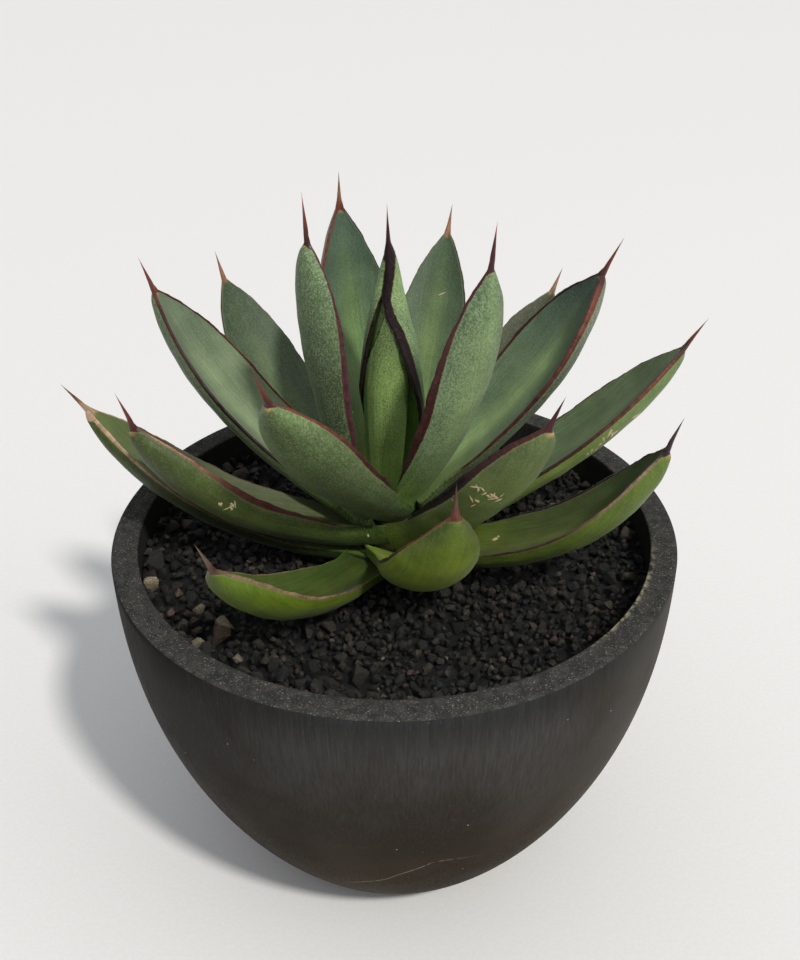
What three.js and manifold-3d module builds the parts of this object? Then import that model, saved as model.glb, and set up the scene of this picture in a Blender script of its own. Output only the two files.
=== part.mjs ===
import * as THREE from "three";
import { mergeVertices } from "three/addons/utils/BufferGeometryUtils.js";
import Module from "manifold-3d";

// A potted green lotus agave, in millimetres, +Z up.
// The origin is the middle of the pot's underside. +X is to the right and -Y is the front.

const wasm = await Module();
wasm.setup();

// Pot
const potHeight = 112;
const rimRadius = 80;
const rimWidth = 7.4;
const rimChamfer = 0.8;
const footRadius = 38;
const sideCurve = 2.29;
const sideRound = 0.95;
const wallThickness = 6.6;
const floorThickness = 5;
const potSides = 56;
const drainHoleRadius = 4;
const drainHoleDistance = 20;
const drainHoleCount = 4;
const drainHoleSides = 16;
const outsideHeights = [2.2, 10, 20, 33, 50, 70, 92];
const insideHeights = [96, 70, 46, 24];

// Soil with its lava grit
const soilLevel = 99.8;
const gritStep = 4;
const gritRelief = 0.9;
const gritJitter = 0.25;
const gritSeed = 7;

// Room between neighbours that touch, and the size under which a cut's slivers are smoothed away
const gap = 0.3;
const sliverSize = 0.06;
const weldSize = 1e-4;

// Stem
const stemFoot = 86;
const stemTop = 117;
const stemFootRadius = 7.5;
const stemTopRadius = 5;
const stemEdge = 1;
const stemSides = 20;
const stemHolePlay = 0.35;

// Leaf shape shared by all leaves: fractions along the blade, and of its greatest size there
const widthStations = [0, 0.12, 0.3, 0.5, 0.66, 0.8, 0.9, 0.96, 1];
const widthShares = [0.86, 0.72, 0.88, 0.97, 1, 0.84, 0.56, 0.3, 0.12];
const slenderShares = [0.86, 0.72, 0.88, 0.97, 0.76, 0.45, 0.23, 0.15, 0.12];
const bodyStations = [0, 0.25, 0.5, 0.75, 0.9, 0.97, 1];
const bodyShares = [1, 0.85, 0.82, 0.78, 0.68, 0.5, 0.34];
const marginThickness = 0.9;
const backFullness = 2.2;
const backRoundness = 0.75;
const baseFoldShare = 0.55;
const foldFullAt = 0.35;
const foldNamedAt = 0.6;
const closingFrom = 0.76;
const mostFold = 176;
const shutAngle = 179;
const lineSteps = 48;
const spineWaistAt = 0.35;
const spineWaistShare = 0.6;
const faceSegments = 4;
const backSegments = 6;
const bladeStations = [0, 0.08, 0.18, 0.3, 0.42, 0.54, 0.65, 0.74, 0.82, 0.89, 0.95, 1];

// Rolled heart bud
const budBottom = new THREE.Vector3(-2.6, -1.4, 117.6);
const budTop = new THREE.Vector3(-0.6, 0.7, 187);
const budRadius = 5.8;
const budStations = [0, 0.1, 0.25, 0.42, 0.58, 0.72, 0.84, 0.94];
const budShares = [0.6, 0.7, 0.84, 0.96, 1, 0.84, 0.57, 0.27];
const budSides = 12;

// Each leaf: heading and turn of its line seen from above, rise of its line at the base and the tip,
// roll and twist about its line, and the fold of its channel, all in degrees. Lengths are in millimetres.
// A leaf with slender 1 narrows early towards its tip, and closing rolls the upper part shut.
const usualLeaf = {
  turn: 0, roll: 0, twist: 0, slender: 0, fold: 38, tighten: 0, closing: 0, body: 5, spine: 10.8,
  spineLift: 2,
};
const leaves = {
  leaf_heart_wrap: {
    heading: 77, turn: -4, root: [6, 116], rise: [85, 102], length: 79, halfWidth: 7.7,
    slender: 1, fold: 110, tighten: 1.2, closing: 280, roll: -8, twist: 18, body: 2.6, spine: 14.3,
    spineLift: 8,
  },
  leaf_upper_left: {
    heading: 187, turn: 23, root: [7.3, 118.5], rise: [69, 92], length: 83, halfWidth: 10.3,
    fold: 44, roll: 5, twist: -8, body: 4.3, spine: 13.5, spineLift: 6,
  },
  leaf_upper_front_right: {
    heading: 310, turn: -4, root: [2, 122], rise: [50, 84], length: 89, halfWidth: 9.3,
    fold: 33, roll: -2, body: 4.1, spine: 12.4, spineLift: -2,
  },
  leaf_upper_back_left: {
    heading: 112, turn: 5, root: [6, 117], rise: [57, 83], length: 84, halfWidth: 12.2,
    slender: 0.4, roll: -2, spineLift: 9,
  },
  leaf_upper_back_right: {
    heading: 73, turn: 2, root: [6, 116], rise: [47, 50], length: 82, halfWidth: 11,
    slender: 0.3, fold: 28, roll: 3, spine: 9.8, spineLift: -2,
  },
  leaf_middle_front_left: {
    heading: 240, turn: -10, root: [3, 121], rise: [34, 64], length: 74, halfWidth: 10.8,
    fold: 35, roll: -19, spine: 12.6,
  },
  leaf_middle_right: {
    heading: 23, turn: -13, root: [3.5, 124], rise: [22, 69], length: 82, halfWidth: 13,
    fold: 43, roll: -2, spine: 12, spineLift: -7,
  },
  leaf_middle_left: {
    heading: 156, turn: 6, root: [5.5, 115.5], rise: [18, 66], length: 90, halfWidth: 12.2,
    fold: 43, roll: -3, twist: -2,
  },
  leaf_middle_back_left: {
    heading: 127, turn: 7, root: [6.8, 112], rise: [11, 58], length: 91, halfWidth: 11,
    fold: 19, roll: 1, spine: 9.2, spineLift: 9,
  },
  leaf_middle_back_right: {
    heading: 46, turn: 11, root: [6.6, 112], rise: [27, 37], length: 85, halfWidth: 10,
    fold: 32, spine: 9.2, spineLift: 3,
  },
  leaf_middle_front_right: {
    heading: 313, turn: 13, root: [5.5, 113], rise: [31, 66], length: 69, halfWidth: 10.3,
    fold: 44, roll: 24, twist: -7, body: 5.7,
  },
  leaf_lower_right: {
    heading: 8, turn: -5, root: [5, 111], rise: [18, 53], length: 92, halfWidth: 10.6,
    roll: 4, twist: 1, body: 5.4, spine: 11.2, spineLift: 3,
  },
  leaf_lower_left: {
    heading: 186, turn: 12, root: [2, 113.4], rise: [-5, 67], length: 83, halfWidth: 10.8,
    fold: 57, roll: -14, twist: -5, body: 6, spine: 11.6, spineLift: 4,
  },
  leaf_lowest_left: {
    heading: 173, turn: 6, root: [6, 106], rise: [-3, 59], length: 93, halfWidth: 10.6,
    fold: 44, roll: 4, twist: -10, body: 5.1, spineLift: -8,
  },
  leaf_lower_front_right: {
    heading: 339, turn: -7, root: [7.7, 109], rise: [-2, 71], length: 86, halfWidth: 10.3,
    fold: 48, roll: -1, twist: -4, body: 5.4, spine: 11.2, spineLift: 0,
  },
  leaf_lower_front: {
    heading: 282, turn: 17, root: [6, 107], rise: [5, 81], length: 62, halfWidth: 11.8,
    slender: 0.35, fold: 37, roll: 12, twist: 2, body: 5.7, spineLift: 8,
  },
  leaf_lower_front_left: {
    heading: 231, turn: 6, root: [8.5, 105.5], rise: [-7, 64], length: 77, halfWidth: 9.5,
    fold: 57, roll: 2, twist: -8, body: 4.7, spine: 12, spineLift: 0,
  },
  leaf_lower_back_left: {
    heading: 122, root: [6, 107.5], rise: [0, 45], length: 64, halfWidth: 10.2,
  },
  leaf_lower_back: {
    heading: 95, root: [6, 107.5], rise: [0, 47], length: 74, halfWidth: 10.4,
  },
  leaf_lower_back_right: {
    heading: 65, root: [6, 107.5], rise: [0, 46], length: 66, halfWidth: 10.2,
  },
};

// Value at x of a smooth curve through the given stations and shares.
function smoothShare(stations, shares, x) {
  let i = 0;
  while (i < stations.length - 2 && x > stations[i + 1]) {
    i += 1;
  }
  const slope = (k) => {
    const low = Math.max(0, k - 1);
    const high = Math.min(stations.length - 1, k + 1);
    return (shares[high] - shares[low]) / (stations[high] - stations[low]);
  };
  const span = stations[i + 1] - stations[i];
  const t = Math.min(1, Math.max(0, (x - stations[i]) / span));
  const rest = 1 - t;
  return (
    shares[i] * (1 + 2 * t) * rest * rest +
    span * slope(i) * t * rest * rest +
    shares[i + 1] * t * t * (3 - 2 * t) -
    span * slope(i + 1) * t * t * rest
  );
}

// Closed mesh through rings of points, with a flat start and a pointed tip.
function loft(rings, tip) {
  const count = rings[0].length;
  const points = rings.flat();
  const faces = [];
  for (let r = 0; r < rings.length - 1; r += 1) {
    for (let k = 0; k < count; k += 1) {
      const a = r * count + k;
      const b = r * count + ((k + 1) % count);
      faces.push(a, b, b + count, a, b + count, a + count);
    }
  }
  const closeWith = (point, start, turned) => {
    const hub = points.push(point) - 1;
    for (let k = 0; k < count; k += 1) {
      const a = start + k;
      const b = start + ((k + 1) % count);
      faces.push(...(turned ? [hub, b, a] : [hub, a, b]));
    }
  };
  const middle = new THREE.Vector3();
  rings[0].forEach((point) => middle.addScaledVector(point, 1 / count));
  closeWith(middle, 0, true);
  closeWith(tip, (rings.length - 1) * count, false);
  const geometry = new THREE.BufferGeometry().setFromPoints(points);
  geometry.setIndex(faces);
  return geometry;
}

// Solid of a closed geometry, with its faces turned outwards.
function solidOf(geometry) {
  const plain = geometry.clone();
  plain.deleteAttribute("normal");
  plain.deleteAttribute("uv");
  const merged = mergeVertices(plain, weldSize);
  const triVerts = new Uint32Array(merged.index.array);
  const vertProperties = merged.attributes.position.array;
  const made = new wasm.Manifold(new wasm.Mesh({ numProp: 3, vertProperties, triVerts }));
  if (made.volume() > 0) {
    return made;
  }
  for (let i = 0; i < triVerts.length; i += 3) {
    [triVerts[i + 1], triVerts[i + 2]] = [triVerts[i + 2], triVerts[i + 1]];
  }
  return new wasm.Manifold(new wasm.Mesh({ numProp: 3, vertProperties, triVerts }));
}

function largestBody(solid) {
  const bodies = solid.decompose();
  bodies.sort((a, b) => b.volume() - a.volume());
  return bodies[0];
}

// The largest body of a cut solid, with its finest slivers smoothed away.
function mainBody(solid) {
  return largestBody(largestBody(solid).simplify(sliverSize));
}

function geometryOf(solid) {
  const mesh = solid.getMesh();
  const positions = new Float32Array(mesh.numVert * 3);
  for (let i = 0; i < mesh.numVert; i += 1) {
    positions.set(mesh.vertProperties.subarray(i * mesh.numProp, i * mesh.numProp + 3), i * 3);
  }
  const geometry = new THREE.BufferGeometry();
  geometry.setAttribute("position", new THREE.BufferAttribute(positions, 3));
  geometry.setIndex(new THREE.BufferAttribute(new Uint32Array(mesh.triVerts), 1));
  return geometry;
}

// Solid of revolution about the vertical axis, from [radius, height] pairs.
function turned(profile, sides) {
  const outline = profile.map(([radius, height]) => new THREE.Vector2(radius, height));
  return solidOf(new THREE.LatheGeometry(outline, sides).rotateX(Math.PI / 2));
}

const radians = THREE.MathUtils.degToRad;

// Centre line of a leaf: its point, direction, side and upper normal at a share s of its length.
function leafLine(leaf) {
  const heading = radians(leaf.heading);
  const point = new THREE.Vector3(
    leaf.root[0] * Math.cos(heading),
    leaf.root[0] * Math.sin(heading),
    leaf.root[1],
  );
  const directionAt = (s) => {
    const turn = radians(leaf.heading + leaf.turn * s);
    const rise = radians(leaf.rise[0] + (leaf.rise[1] - leaf.rise[0]) * s);
    return new THREE.Vector3(
      Math.cos(rise) * Math.cos(turn),
      Math.cos(rise) * Math.sin(turn),
      Math.sin(rise),
    );
  };
  const line = [point.clone()];
  for (let i = 0; i < lineSteps; i += 1) {
    point.addScaledVector(directionAt((i + 0.5) / lineSteps), leaf.length / lineSteps);
    line.push(point.clone());
  }
  return (s) => {
    const place = s * lineSteps;
    const i = Math.min(lineSteps - 1, Math.floor(place));
    const at = line[i].clone().lerp(line[i + 1], place - i);
    const along = directionAt(s);
    const turn = radians(leaf.heading + leaf.turn * s);
    const level = new THREE.Vector3(Math.sin(turn), -Math.cos(turn), 0);
    const upright = level.clone().cross(along);
    const roll = radians(leaf.roll + leaf.twist * s);
    const side = level.clone().multiplyScalar(Math.cos(roll)).addScaledVector(upright, Math.sin(roll));
    const up = upright.multiplyScalar(Math.cos(roll)).addScaledVector(level, -Math.sin(roll));
    return { at, along, side, up };
  };
}

// Ring of points round a leaf at share s: the hollow upper face, then the full, rounded back.
// grow swells it all round, which makes the room that its neighbours keep.
function leafRing(leaf, frameAt, s, grow) {
  const { at, side, up } = frameAt(s);
  const usualWidth = smoothShare(widthStations, widthShares, s);
  const slenderWidth = smoothShare(widthStations, slenderShares, s);
  const halfWidth = leaf.halfWidth * (usualWidth + (slenderWidth - usualWidth) * leaf.slender);
  const body = leaf.body * smoothShare(bodyStations, bodyShares, s);
  const opening = baseFoldShare + (1 - baseFoldShare) * Math.min(1, s / foldFullAt);
  const open = leaf.fold * opening * (1 + leaf.tighten * (s - foldNamedAt));
  const rolled = open + leaf.closing * Math.max(0, s - closingFrom);
  const fold = radians(Math.min(rolled, mostFold));
  const radius = halfWidth / Math.sin(Math.min(fold, Math.PI / 2));
  const edge = marginThickness * Math.min(1, body / 2);
  const pointAt = (u, depth) => {
    const widening = Math.abs(u) === 1 ? (u * grow) / radius : 0;
    const shut = radians(shutAngle);
    const angle = Math.min(shut, Math.max(-shut, fold * u + widening));
    const out = radius + depth;
    return at
      .clone()
      .addScaledVector(side, out * Math.sin(angle))
      .addScaledVector(up, radius - out * Math.cos(angle));
  };
  const ring = [];
  for (let i = 0; i <= faceSegments; i += 1) {
    ring.push(pointAt((2 * i) / faceSegments - 1, -grow));
  }
  for (let i = 0; i <= backSegments; i += 1) {
    const u = 1 - (2 * i) / backSegments;
    const rounded = (1 - Math.abs(u) ** backFullness) ** backRoundness;
    ring.push(pointAt(u, edge + (body - edge) * rounded + grow));
  }
  return ring;
}

function leafSolid(given, grow) {
  const leaf = { ...usualLeaf, ...given };
  const frameAt = leafLine(leaf);
  const rings = bladeStations.map((s) => leafRing(leaf, frameAt, s, grow));
  if (grow > 0) {
    const { along } = frameAt(0);
    rings[0].forEach((point) => point.addScaledVector(along, -grow));
  }
  const end = frameAt(1);
  const lift = radians(leaf.spineLift);
  const skyward = new THREE.Vector3(0, 0, 1).addScaledVector(end.along, -end.along.z).normalize();
  const spineAlong = end.along.multiplyScalar(Math.cos(lift)).addScaledVector(skyward, Math.sin(lift));
  const last = rings[rings.length - 1];
  const root = new THREE.Vector3();
  last.forEach((point) => root.addScaledVector(point, 1 / last.length));
  const waist = root.clone().addScaledVector(spineAlong, leaf.spine * spineWaistAt);
  rings.push(last.map((point) => point.clone().sub(root).multiplyScalar(spineWaistShare).add(waist)));
  const tip = root.clone().addScaledVector(spineAlong, leaf.spine + grow);
  return solidOf(loft(rings, tip));
}

function budSolid(grow) {
  const axis = budTop.clone().sub(budBottom);
  const rings = budStations.map((s, i) => {
    const radius = budRadius * budShares[i] + grow;
    const middle = budBottom.clone().addScaledVector(axis, s);
    if (i === 0) {
      middle.z -= grow;
    }
    return Array.from({ length: budSides }, (unused, k) => {
      const angle = (2 * Math.PI * k) / budSides;
      return middle.clone().add(new THREE.Vector3(radius * Math.cos(angle), radius * Math.sin(angle), 0));
    });
  });
  return solidOf(loft(rings, budTop.clone().setZ(budTop.z + grow)));
}

// Radius of the pot's side at a height.
function sideRadius(height) {
  const depth = Math.max(0, 1 - height / potHeight);
  return footRadius + (rimRadius - footRadius) * (1 - depth ** sideCurve) ** sideRound;
}

// Radius of the pot's inside at a height.
function insideRadius(height) {
  return Math.min(rimRadius - rimWidth, sideRadius(height) - wallThickness);
}

function potSolid() {
  const outside = outsideHeights.map((height) => [sideRadius(height), height]);
  const inside = [...insideHeights, floorThickness].map((height) => [insideRadius(height), height]);
  const profile = [
    [0, 0],
    [footRadius, 0],
    ...outside,
    [rimRadius, potHeight - rimChamfer],
    [rimRadius - rimChamfer, potHeight],
    [rimRadius - rimWidth, potHeight],
    ...inside,
    [0, floorThickness],
  ];
  let pot = turned(profile, potSides);
  for (let i = 0; i < drainHoleCount; i += 1) {
    const angle = (2 * Math.PI * (i + 0.5)) / drainHoleCount;
    const drill = new THREE.CylinderGeometry(
      drainHoleRadius, drainHoleRadius, 3 * floorThickness, drainHoleSides,
    );
    drill.rotateX(Math.PI / 2);
    drill.translate(drainHoleDistance * Math.cos(angle), drainHoleDistance * Math.sin(angle), 0);
    pot = pot.subtract(solidOf(drill));
  }
  return pot;
}

// Repeatable random numbers from 0 to 1.
function randomFrom(seed) {
  let state = seed;
  return () => {
    state = (state + 0x6d2b79f5) | 0;
    let mixed = Math.imul(state ^ (state >>> 15), 1 | state);
    mixed = (mixed + Math.imul(mixed ^ (mixed >>> 7), 61 | mixed)) ^ mixed;
    return ((mixed ^ (mixed >>> 14)) >>> 0) / 4294967296;
  };
}

// Slab whose grainy top is the surface of the grit.
function gritSlab() {
  const random = randomFrom(gritSeed);
  const shift = () => gritJitter * (2 * random() - 1);
  const rowStep = gritStep * Math.sin(Math.PI / 3);
  const halfColumns = Math.ceil(rimRadius / gritStep);
  const halfRows = Math.ceil(rimRadius / rowStep);
  const points = [];
  const faces = [];
  const columns = 2 * halfColumns + 1;
  const rows = 2 * halfRows + 1;
  for (let row = -halfRows; row <= halfRows; row += 1) {
    for (let column = -halfColumns; column <= halfColumns; column += 1) {
      const stagger = (Math.abs(row) % 2) / 2;
      const x = (column + stagger + shift()) * gritStep;
      const y = (row + shift()) * rowStep;
      const z = soilLevel + gritRelief * (2 * random() - 1);
      points.push(new THREE.Vector3(x, y, z));
    }
  }
  const under = points.length;
  points.slice().forEach((point) => points.push(new THREE.Vector3(point.x, point.y, 0)));
  const quad = (a, b, c, d) => faces.push(a, b, c, a, c, d);
  for (let r = 0; r < rows - 1; r += 1) {
    for (let c = 0; c < columns - 1; c += 1) {
      const a = r * columns + c;
      quad(a, a + 1, a + columns + 1, a + columns);
      quad(under + a, under + a + columns, under + a + columns + 1, under + a + 1);
    }
  }
  const last = (rows - 1) * columns;
  for (let c = 0; c < columns - 1; c += 1) {
    quad(c, under + c, under + c + 1, c + 1);
    quad(last + c + 1, under + last + c + 1, under + last + c, last + c);
  }
  for (let r = 0; r < rows - 1; r += 1) {
    const left = r * columns;
    const right = left + columns - 1;
    quad(left + columns, under + left + columns, under + left, left);
    quad(right, under + right, under + right + columns, right + columns);
  }
  const geometry = new THREE.BufferGeometry().setFromPoints(points);
  geometry.setIndex(faces);
  return solidOf(geometry);
}

function stemSolid(grow) {
  return turned(
    [
      [0, stemFoot - grow],
      [stemFootRadius - stemEdge + grow, stemFoot - grow],
      [stemFootRadius + grow, stemFoot + stemEdge],
      [stemTopRadius + grow, stemTop - stemEdge],
      [stemTopRadius - stemEdge + grow, stemTop + grow],
      [0, stemTop + grow],
    ],
    stemSides,
  );
}

function soilSolid() {
  const wall = insideHeights.toReversed().map((height) => [insideRadius(height) - gap, height]);
  const bed = turned(
    [
      [0, floorThickness + gap],
      [insideRadius(floorThickness) - gap, floorThickness + gap],
      ...wall,
      [rimRadius - rimWidth - gap, potHeight],
      [0, potHeight],
    ],
    potSides,
  );
  const holeRadius = stemFootRadius + stemHolePlay;
  const hole = turned(
    [
      [0, stemFoot - gap],
      [holeRadius, stemFoot - gap],
      [holeRadius, potHeight],
      [0, potHeight],
    ],
    stemSides,
  );
  return bed.intersect(gritSlab()).subtract(hole);
}

const plastic = new THREE.MeshStandardMaterial({ color: 0x2b2a2b, roughness: 0.55, metalness: 0 });
const grit = new THREE.MeshStandardMaterial({ color: 0x1a1918, roughness: 0.95, metalness: 0 });
const stemGreen = new THREE.MeshStandardMaterial({ color: 0x6f7d3c, roughness: 0.7, metalness: 0 });
const leafGreen = new THREE.MeshStandardMaterial({ color: 0x55704f, roughness: 0.5, metalness: 0 });
const heartGreen = new THREE.MeshStandardMaterial({ color: 0x6f8f45, roughness: 0.5, metalness: 0 });

const agave = new THREE.Group();

function addPiece(name, solid, material) {
  const mesh = new THREE.Mesh(geometryOf(solid), material);
  mesh.name = name;
  agave.add(mesh);
}

addPiece("pot", potSolid(), plastic);
addPiece("stem", stemSolid(0), stemGreen);
addPiece("heart_bud", mainBody(budSolid(0).subtract(stemSolid(gap))), heartGreen);

// From the heart outwards, each leaf base gives way to what lies inside it.
let taken = stemSolid(gap).add(budSolid(gap));
let soil = soilSolid();
for (const [name, leaf] of Object.entries(leaves)) {
  addPiece(name, mainBody(leafSolid(leaf, 0).subtract(taken)), leafGreen);
  const room = leafSolid(leaf, gap);
  taken = taken.add(room);
  soil = soil.subtract(room);
}
addPiece("soil", mainBody(soil), grit);

export default agave;
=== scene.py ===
# Looks of a potted green lotus agave: leaves with horny margins and spines, lava grit, moulded pot.
import math

import bmesh
import bpy
import numpy as np
from mathutils import Matrix, Quaternion, Vector


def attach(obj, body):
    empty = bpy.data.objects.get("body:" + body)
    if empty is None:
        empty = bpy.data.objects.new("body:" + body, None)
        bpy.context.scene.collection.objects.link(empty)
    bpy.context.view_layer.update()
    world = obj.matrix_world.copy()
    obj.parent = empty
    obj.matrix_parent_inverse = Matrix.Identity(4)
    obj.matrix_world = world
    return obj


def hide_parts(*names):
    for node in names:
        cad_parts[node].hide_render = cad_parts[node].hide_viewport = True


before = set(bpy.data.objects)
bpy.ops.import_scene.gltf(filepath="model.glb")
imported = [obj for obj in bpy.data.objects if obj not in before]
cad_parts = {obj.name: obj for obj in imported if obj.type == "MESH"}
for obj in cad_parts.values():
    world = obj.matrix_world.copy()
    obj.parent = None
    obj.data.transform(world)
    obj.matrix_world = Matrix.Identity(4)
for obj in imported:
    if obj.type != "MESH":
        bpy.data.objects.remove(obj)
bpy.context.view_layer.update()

# Shapes are worked out in millimetres, in the frame of the CAD part, and go to Blender in metres.
MM = 0.001

# Pot and soil, as in the CAD part
POT_HEIGHT = 112
RIM_RADIUS = 80
RIM_WIDTH = 7.4
INNER_RADIUS = RIM_RADIUS - RIM_WIDTH
FOOT_RADIUS = 38
SIDE_CURVE = 2.29
SIDE_ROUND = 0.95
WALL_THICKNESS = 6.6
FLOOR_THICKNESS = 5
DRAIN_HOLE_RADIUS = 4
DRAIN_HOLE_DISTANCE = 20
DRAIN_HOLE_COUNT = 4
SOIL_LEVEL = 99.8
GAP = 0.3

# Finer pot. The rim's outer edge is given inwards and down from its corner, and its inner edge outwards
# and down from its own.
POT_POINTS = 240
FOOT_ROUND = 0.7
SIDE_TOP = POT_HEIGHT - 0.8
OUTER_EDGE = ((0.25, 0.45), (0.55, 0.2), (0.85, 0.06), (1.2, 0))
RIM_TOP = (RIM_RADIUS - 1.6, INNER_RADIUS + 0.7)
INNER_EDGE = ((0.4, 0.04), (0.15, 0.2), (0.02, 0.5))
DRILL_LENGTH = 4 * FLOOR_THICKNESS
INSIDE_TOP = POT_HEIGHT - 1.5
INSIDE_HEIGHTS = (88, 80, 70, 60, 46, 34, 24, 14, FLOOR_THICKNESS)
DENT_DEPTH = 0.05
NICK_DEPTH = 0.35

# Stretches of the pot's side with painted shade at the left and painted light at the right, in degrees
# from the front towards the right: each begins softly between its first two values and ends softly between
# its last two.
LEFT_PAINTED_SHADE = (-10, -60, -110, -150)
RIGHT_PAINTED_LIGHT = (25, 75, 110, 150)

# Scuffed stretch of the rim's inner edge, in degrees from the front towards the right
SCUFF_AT = 62
SCUFF_SPREAD = (10, 22)

# Path of the long scratch low on the front: degrees from the front towards the right, and heights
SCRATCH_TURNS = (-15.6, -9.5, -3.6, 0.2, 5.4, 8.1, 16, 20.3)
SCRATCH_HEIGHTS = (27.2, 32.7, 37, 42, 47.3, 50.1, 49.2, 47.9)
SCRATCH_STRETCH = (-16.6, -9.5, 5, 20.3)

# Loose lava grit. Sizes are radii: logarithm of the middle one, its spread, the least and the most.
# The large pale kind lies by the wall towards LUMPS_TOWARD, and grit is banked up towards BANK_TOWARD,
# both in degrees seen from above.
GRAIN_SHAPES = 28
GRAIN_CORNERS = 15
LUMP_TRIES = 1400
GRAIN_TRIES = 11000
LUMP_SIZES = (0.85, 0.28, 1.4, 3.8)
GRAIN_SIZES = (0.24, 0.36, 0.65, 2.4)
LUMP_DEPTH = 0.62
GRAIN_DEPTH = 0.2
CELL = 6.8
CLOSENESS = 0.8
GRAIN_TOP = SOIL_LEVEL + 1.2
BED_LEVEL = SOIL_LEVEL - 1.6
BED_WALL_HEIGHTS = (FLOOR_THICKNESS + GAP, 24, 46, 70, 90)
BED_RADIUS = 72.3
BED_POINTS = 96
BED_ROUGHNESS = 0.35
BANK_HEIGHT = 4.5
BANK_TOWARD = 205
LUMPS_TOWARD = 232
PEBBLE_SIZE = 1.6
RUST_SHARE = 0.008

# Leaf shape, as in the CAD part
WIDTH_STATIONS = (0, 0.12, 0.3, 0.5, 0.66, 0.8, 0.9, 0.96, 1)
WIDTH_SHARES = (0.86, 0.72, 0.88, 0.97, 1, 0.84, 0.56, 0.28, 0.07)
SLENDER_SHARES = (0.86, 0.72, 0.88, 0.97, 0.76, 0.45, 0.23, 0.15, 0.1)
BODY_STATIONS = (0, 0.25, 0.5, 0.75, 0.9, 0.97, 1)
BODY_SHARES = (1, 0.85, 0.82, 0.78, 0.68, 0.5, 0.34)
MARGIN_THICKNESS = 0.9
BACK_FULLNESS = 2.2
BACK_ROUNDNESS = 0.75
BASE_FOLD_SHARE = 0.55
FOLD_FULL_AT = 0.35
FOLD_NAMED_AT = 0.6
CLOSING_FROM = 0.76
MOST_FOLD = 176
LINE_STEPS = 48

# Finer leaf detail
BLADE_RINGS = 96
SPINE_RINGS = 18
FACE_POINTS = 25
BACK_POINTS = 29
BEAD_POINTS = 7
BEAD_TURN = 72
BEAD_RADIUS = 0.62
BEAD_INSET = 0.28
MARGIN_FOOT = 0.55
MARGIN_FILLET = 1.7
MARGIN_WOBBLE = 0.16
MARGIN_WOBBLE_LENGTH = 1.9
FLUTE_DEPTH = 0.09
FLUTE_WIDTH = 2.3
SWELL_DEPTH = 0.1
SWELL_LENGTH = 9
SPINE_RADIUS = 0.9
SPINE_TAPER = 1.25
SPINE_GROOVE = 0.3
SEAM_FROM = 0.66
SEAM_FULL_AT = 0.95
MARGIN_STATIONS = (0, 0.12, 0.28, 0.55, 0.9, 1)
BEAD_SHOWN = 0.8
SCAR_SIDES = 9
SCAR_LENGTHS = (0.5, 1.6)
SCAR_WIDTHS = (0.18, 0.4)
SCAR_HEIGHT = 0.2
SCAR_LIFT = 0.03
BACK_PATTERN_SHIFT = 60
LEAF_PATTERN_SHIFT = 37
BUD_PATTERN_AT = 999

# Rolled heart bud
BUD_BOTTOM = np.array((-2.6, -1.4, 117.6))
BUD_TOP = np.array((-0.6, 0.7, 187))
BUD_RADIUS = 5.8
BUD_STATIONS = (0, 0.1, 0.25, 0.42, 0.58, 0.72, 0.84, 0.94, 1)
BUD_SHARES = (0.6, 0.7, 0.84, 0.96, 1, 0.84, 0.57, 0.27, 0)
BUD_EDGE_LOW = 180
BUD_EDGE_HIGH = 265
BUD_EDGE_STEP = 0.13
BUD_EDGE_SET_BACK = 0.09
BUD_EDGE_LIP = 0.04
BUD_FLUTES = 0.012
BUD_RINGS = 90
BUD_POINTS = 84

# Display colours, 0 to 255
INK = (26, 15, 18)
PLUM = (36, 21, 25)
PLUM_PINK = (88, 52, 56)
MAROON = (66, 32, 29)
BRICK = (104, 54, 39)
UMBER = (60, 44, 33)
TAN = (128, 104, 82)
CORK = (178, 150, 118)
COPPER = (138, 98, 72)
ROSE = (190, 96, 100)
MAUVE_GREY = (130, 100, 100)
COLLAR = (186, 142, 88)
LIME = (112, 148, 40)
SCAR = (206, 186, 146)
# The bud's colours at base, middle and tip; its bright base is painted light.
BUD_COLOURS_AND_PAINTED_LIGHT = ((196, 232, 112), (130, 158, 80), (72, 88, 48))
# Darker colour under the rolled edge of the bud: painted shade.
BUD_UNDER_PAINTED_SHADE = (84, 104, 46)
BUD_EDGE = (146, 168, 96)
# Near black soil bed: painted shade in the gaps between the grains.
BED_PAINTED_SHADE = (6, 6, 5)
LAVA_TINTS = ((25, 24, 19), (15, 14, 12), (32, 29, 23), (54, 48, 37))
PEBBLE_TINTS = ((86, 80, 66), (104, 96, 78), (128, 118, 96), (86, 70, 56), (70, 66, 58))
RUST_TINTS = ((66, 44, 38), (74, 48, 40))

# The photograph's camera: its place, tilt, yaw, roll and focal length in pixels of the 800 x 960 frame
CAMERA_AT = (0, -295.58, 316.316)
CAMERA_TILT = 32.589
CAMERA_YAW = 0.34
CAMERA_ROLL = -0.454
FOCAL_PIXELS = 1250.13
FRAME_HEIGHT = 960
SENSOR = 36

# Studio: half the floor's side and the soft lights' distance in metres, the point in millimetres that
# they shine at, and their directions and strengths
FLOOR_REACH = 6.0
LIGHTS_AIM = (0, 0, 120)
LIGHT_DISTANCE = 1.4
SUN_FROM = (0.34, -0.53, 0.78)
SUN_STRENGTH = 2.2
SUN_SOFTNESS = 5
SIDE_LIGHT = 2.7
FRONT_LIGHT = 0.45
SKY_AT_HORIZON = 0.2
SKY_OVERHEAD = 0.75

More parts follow.
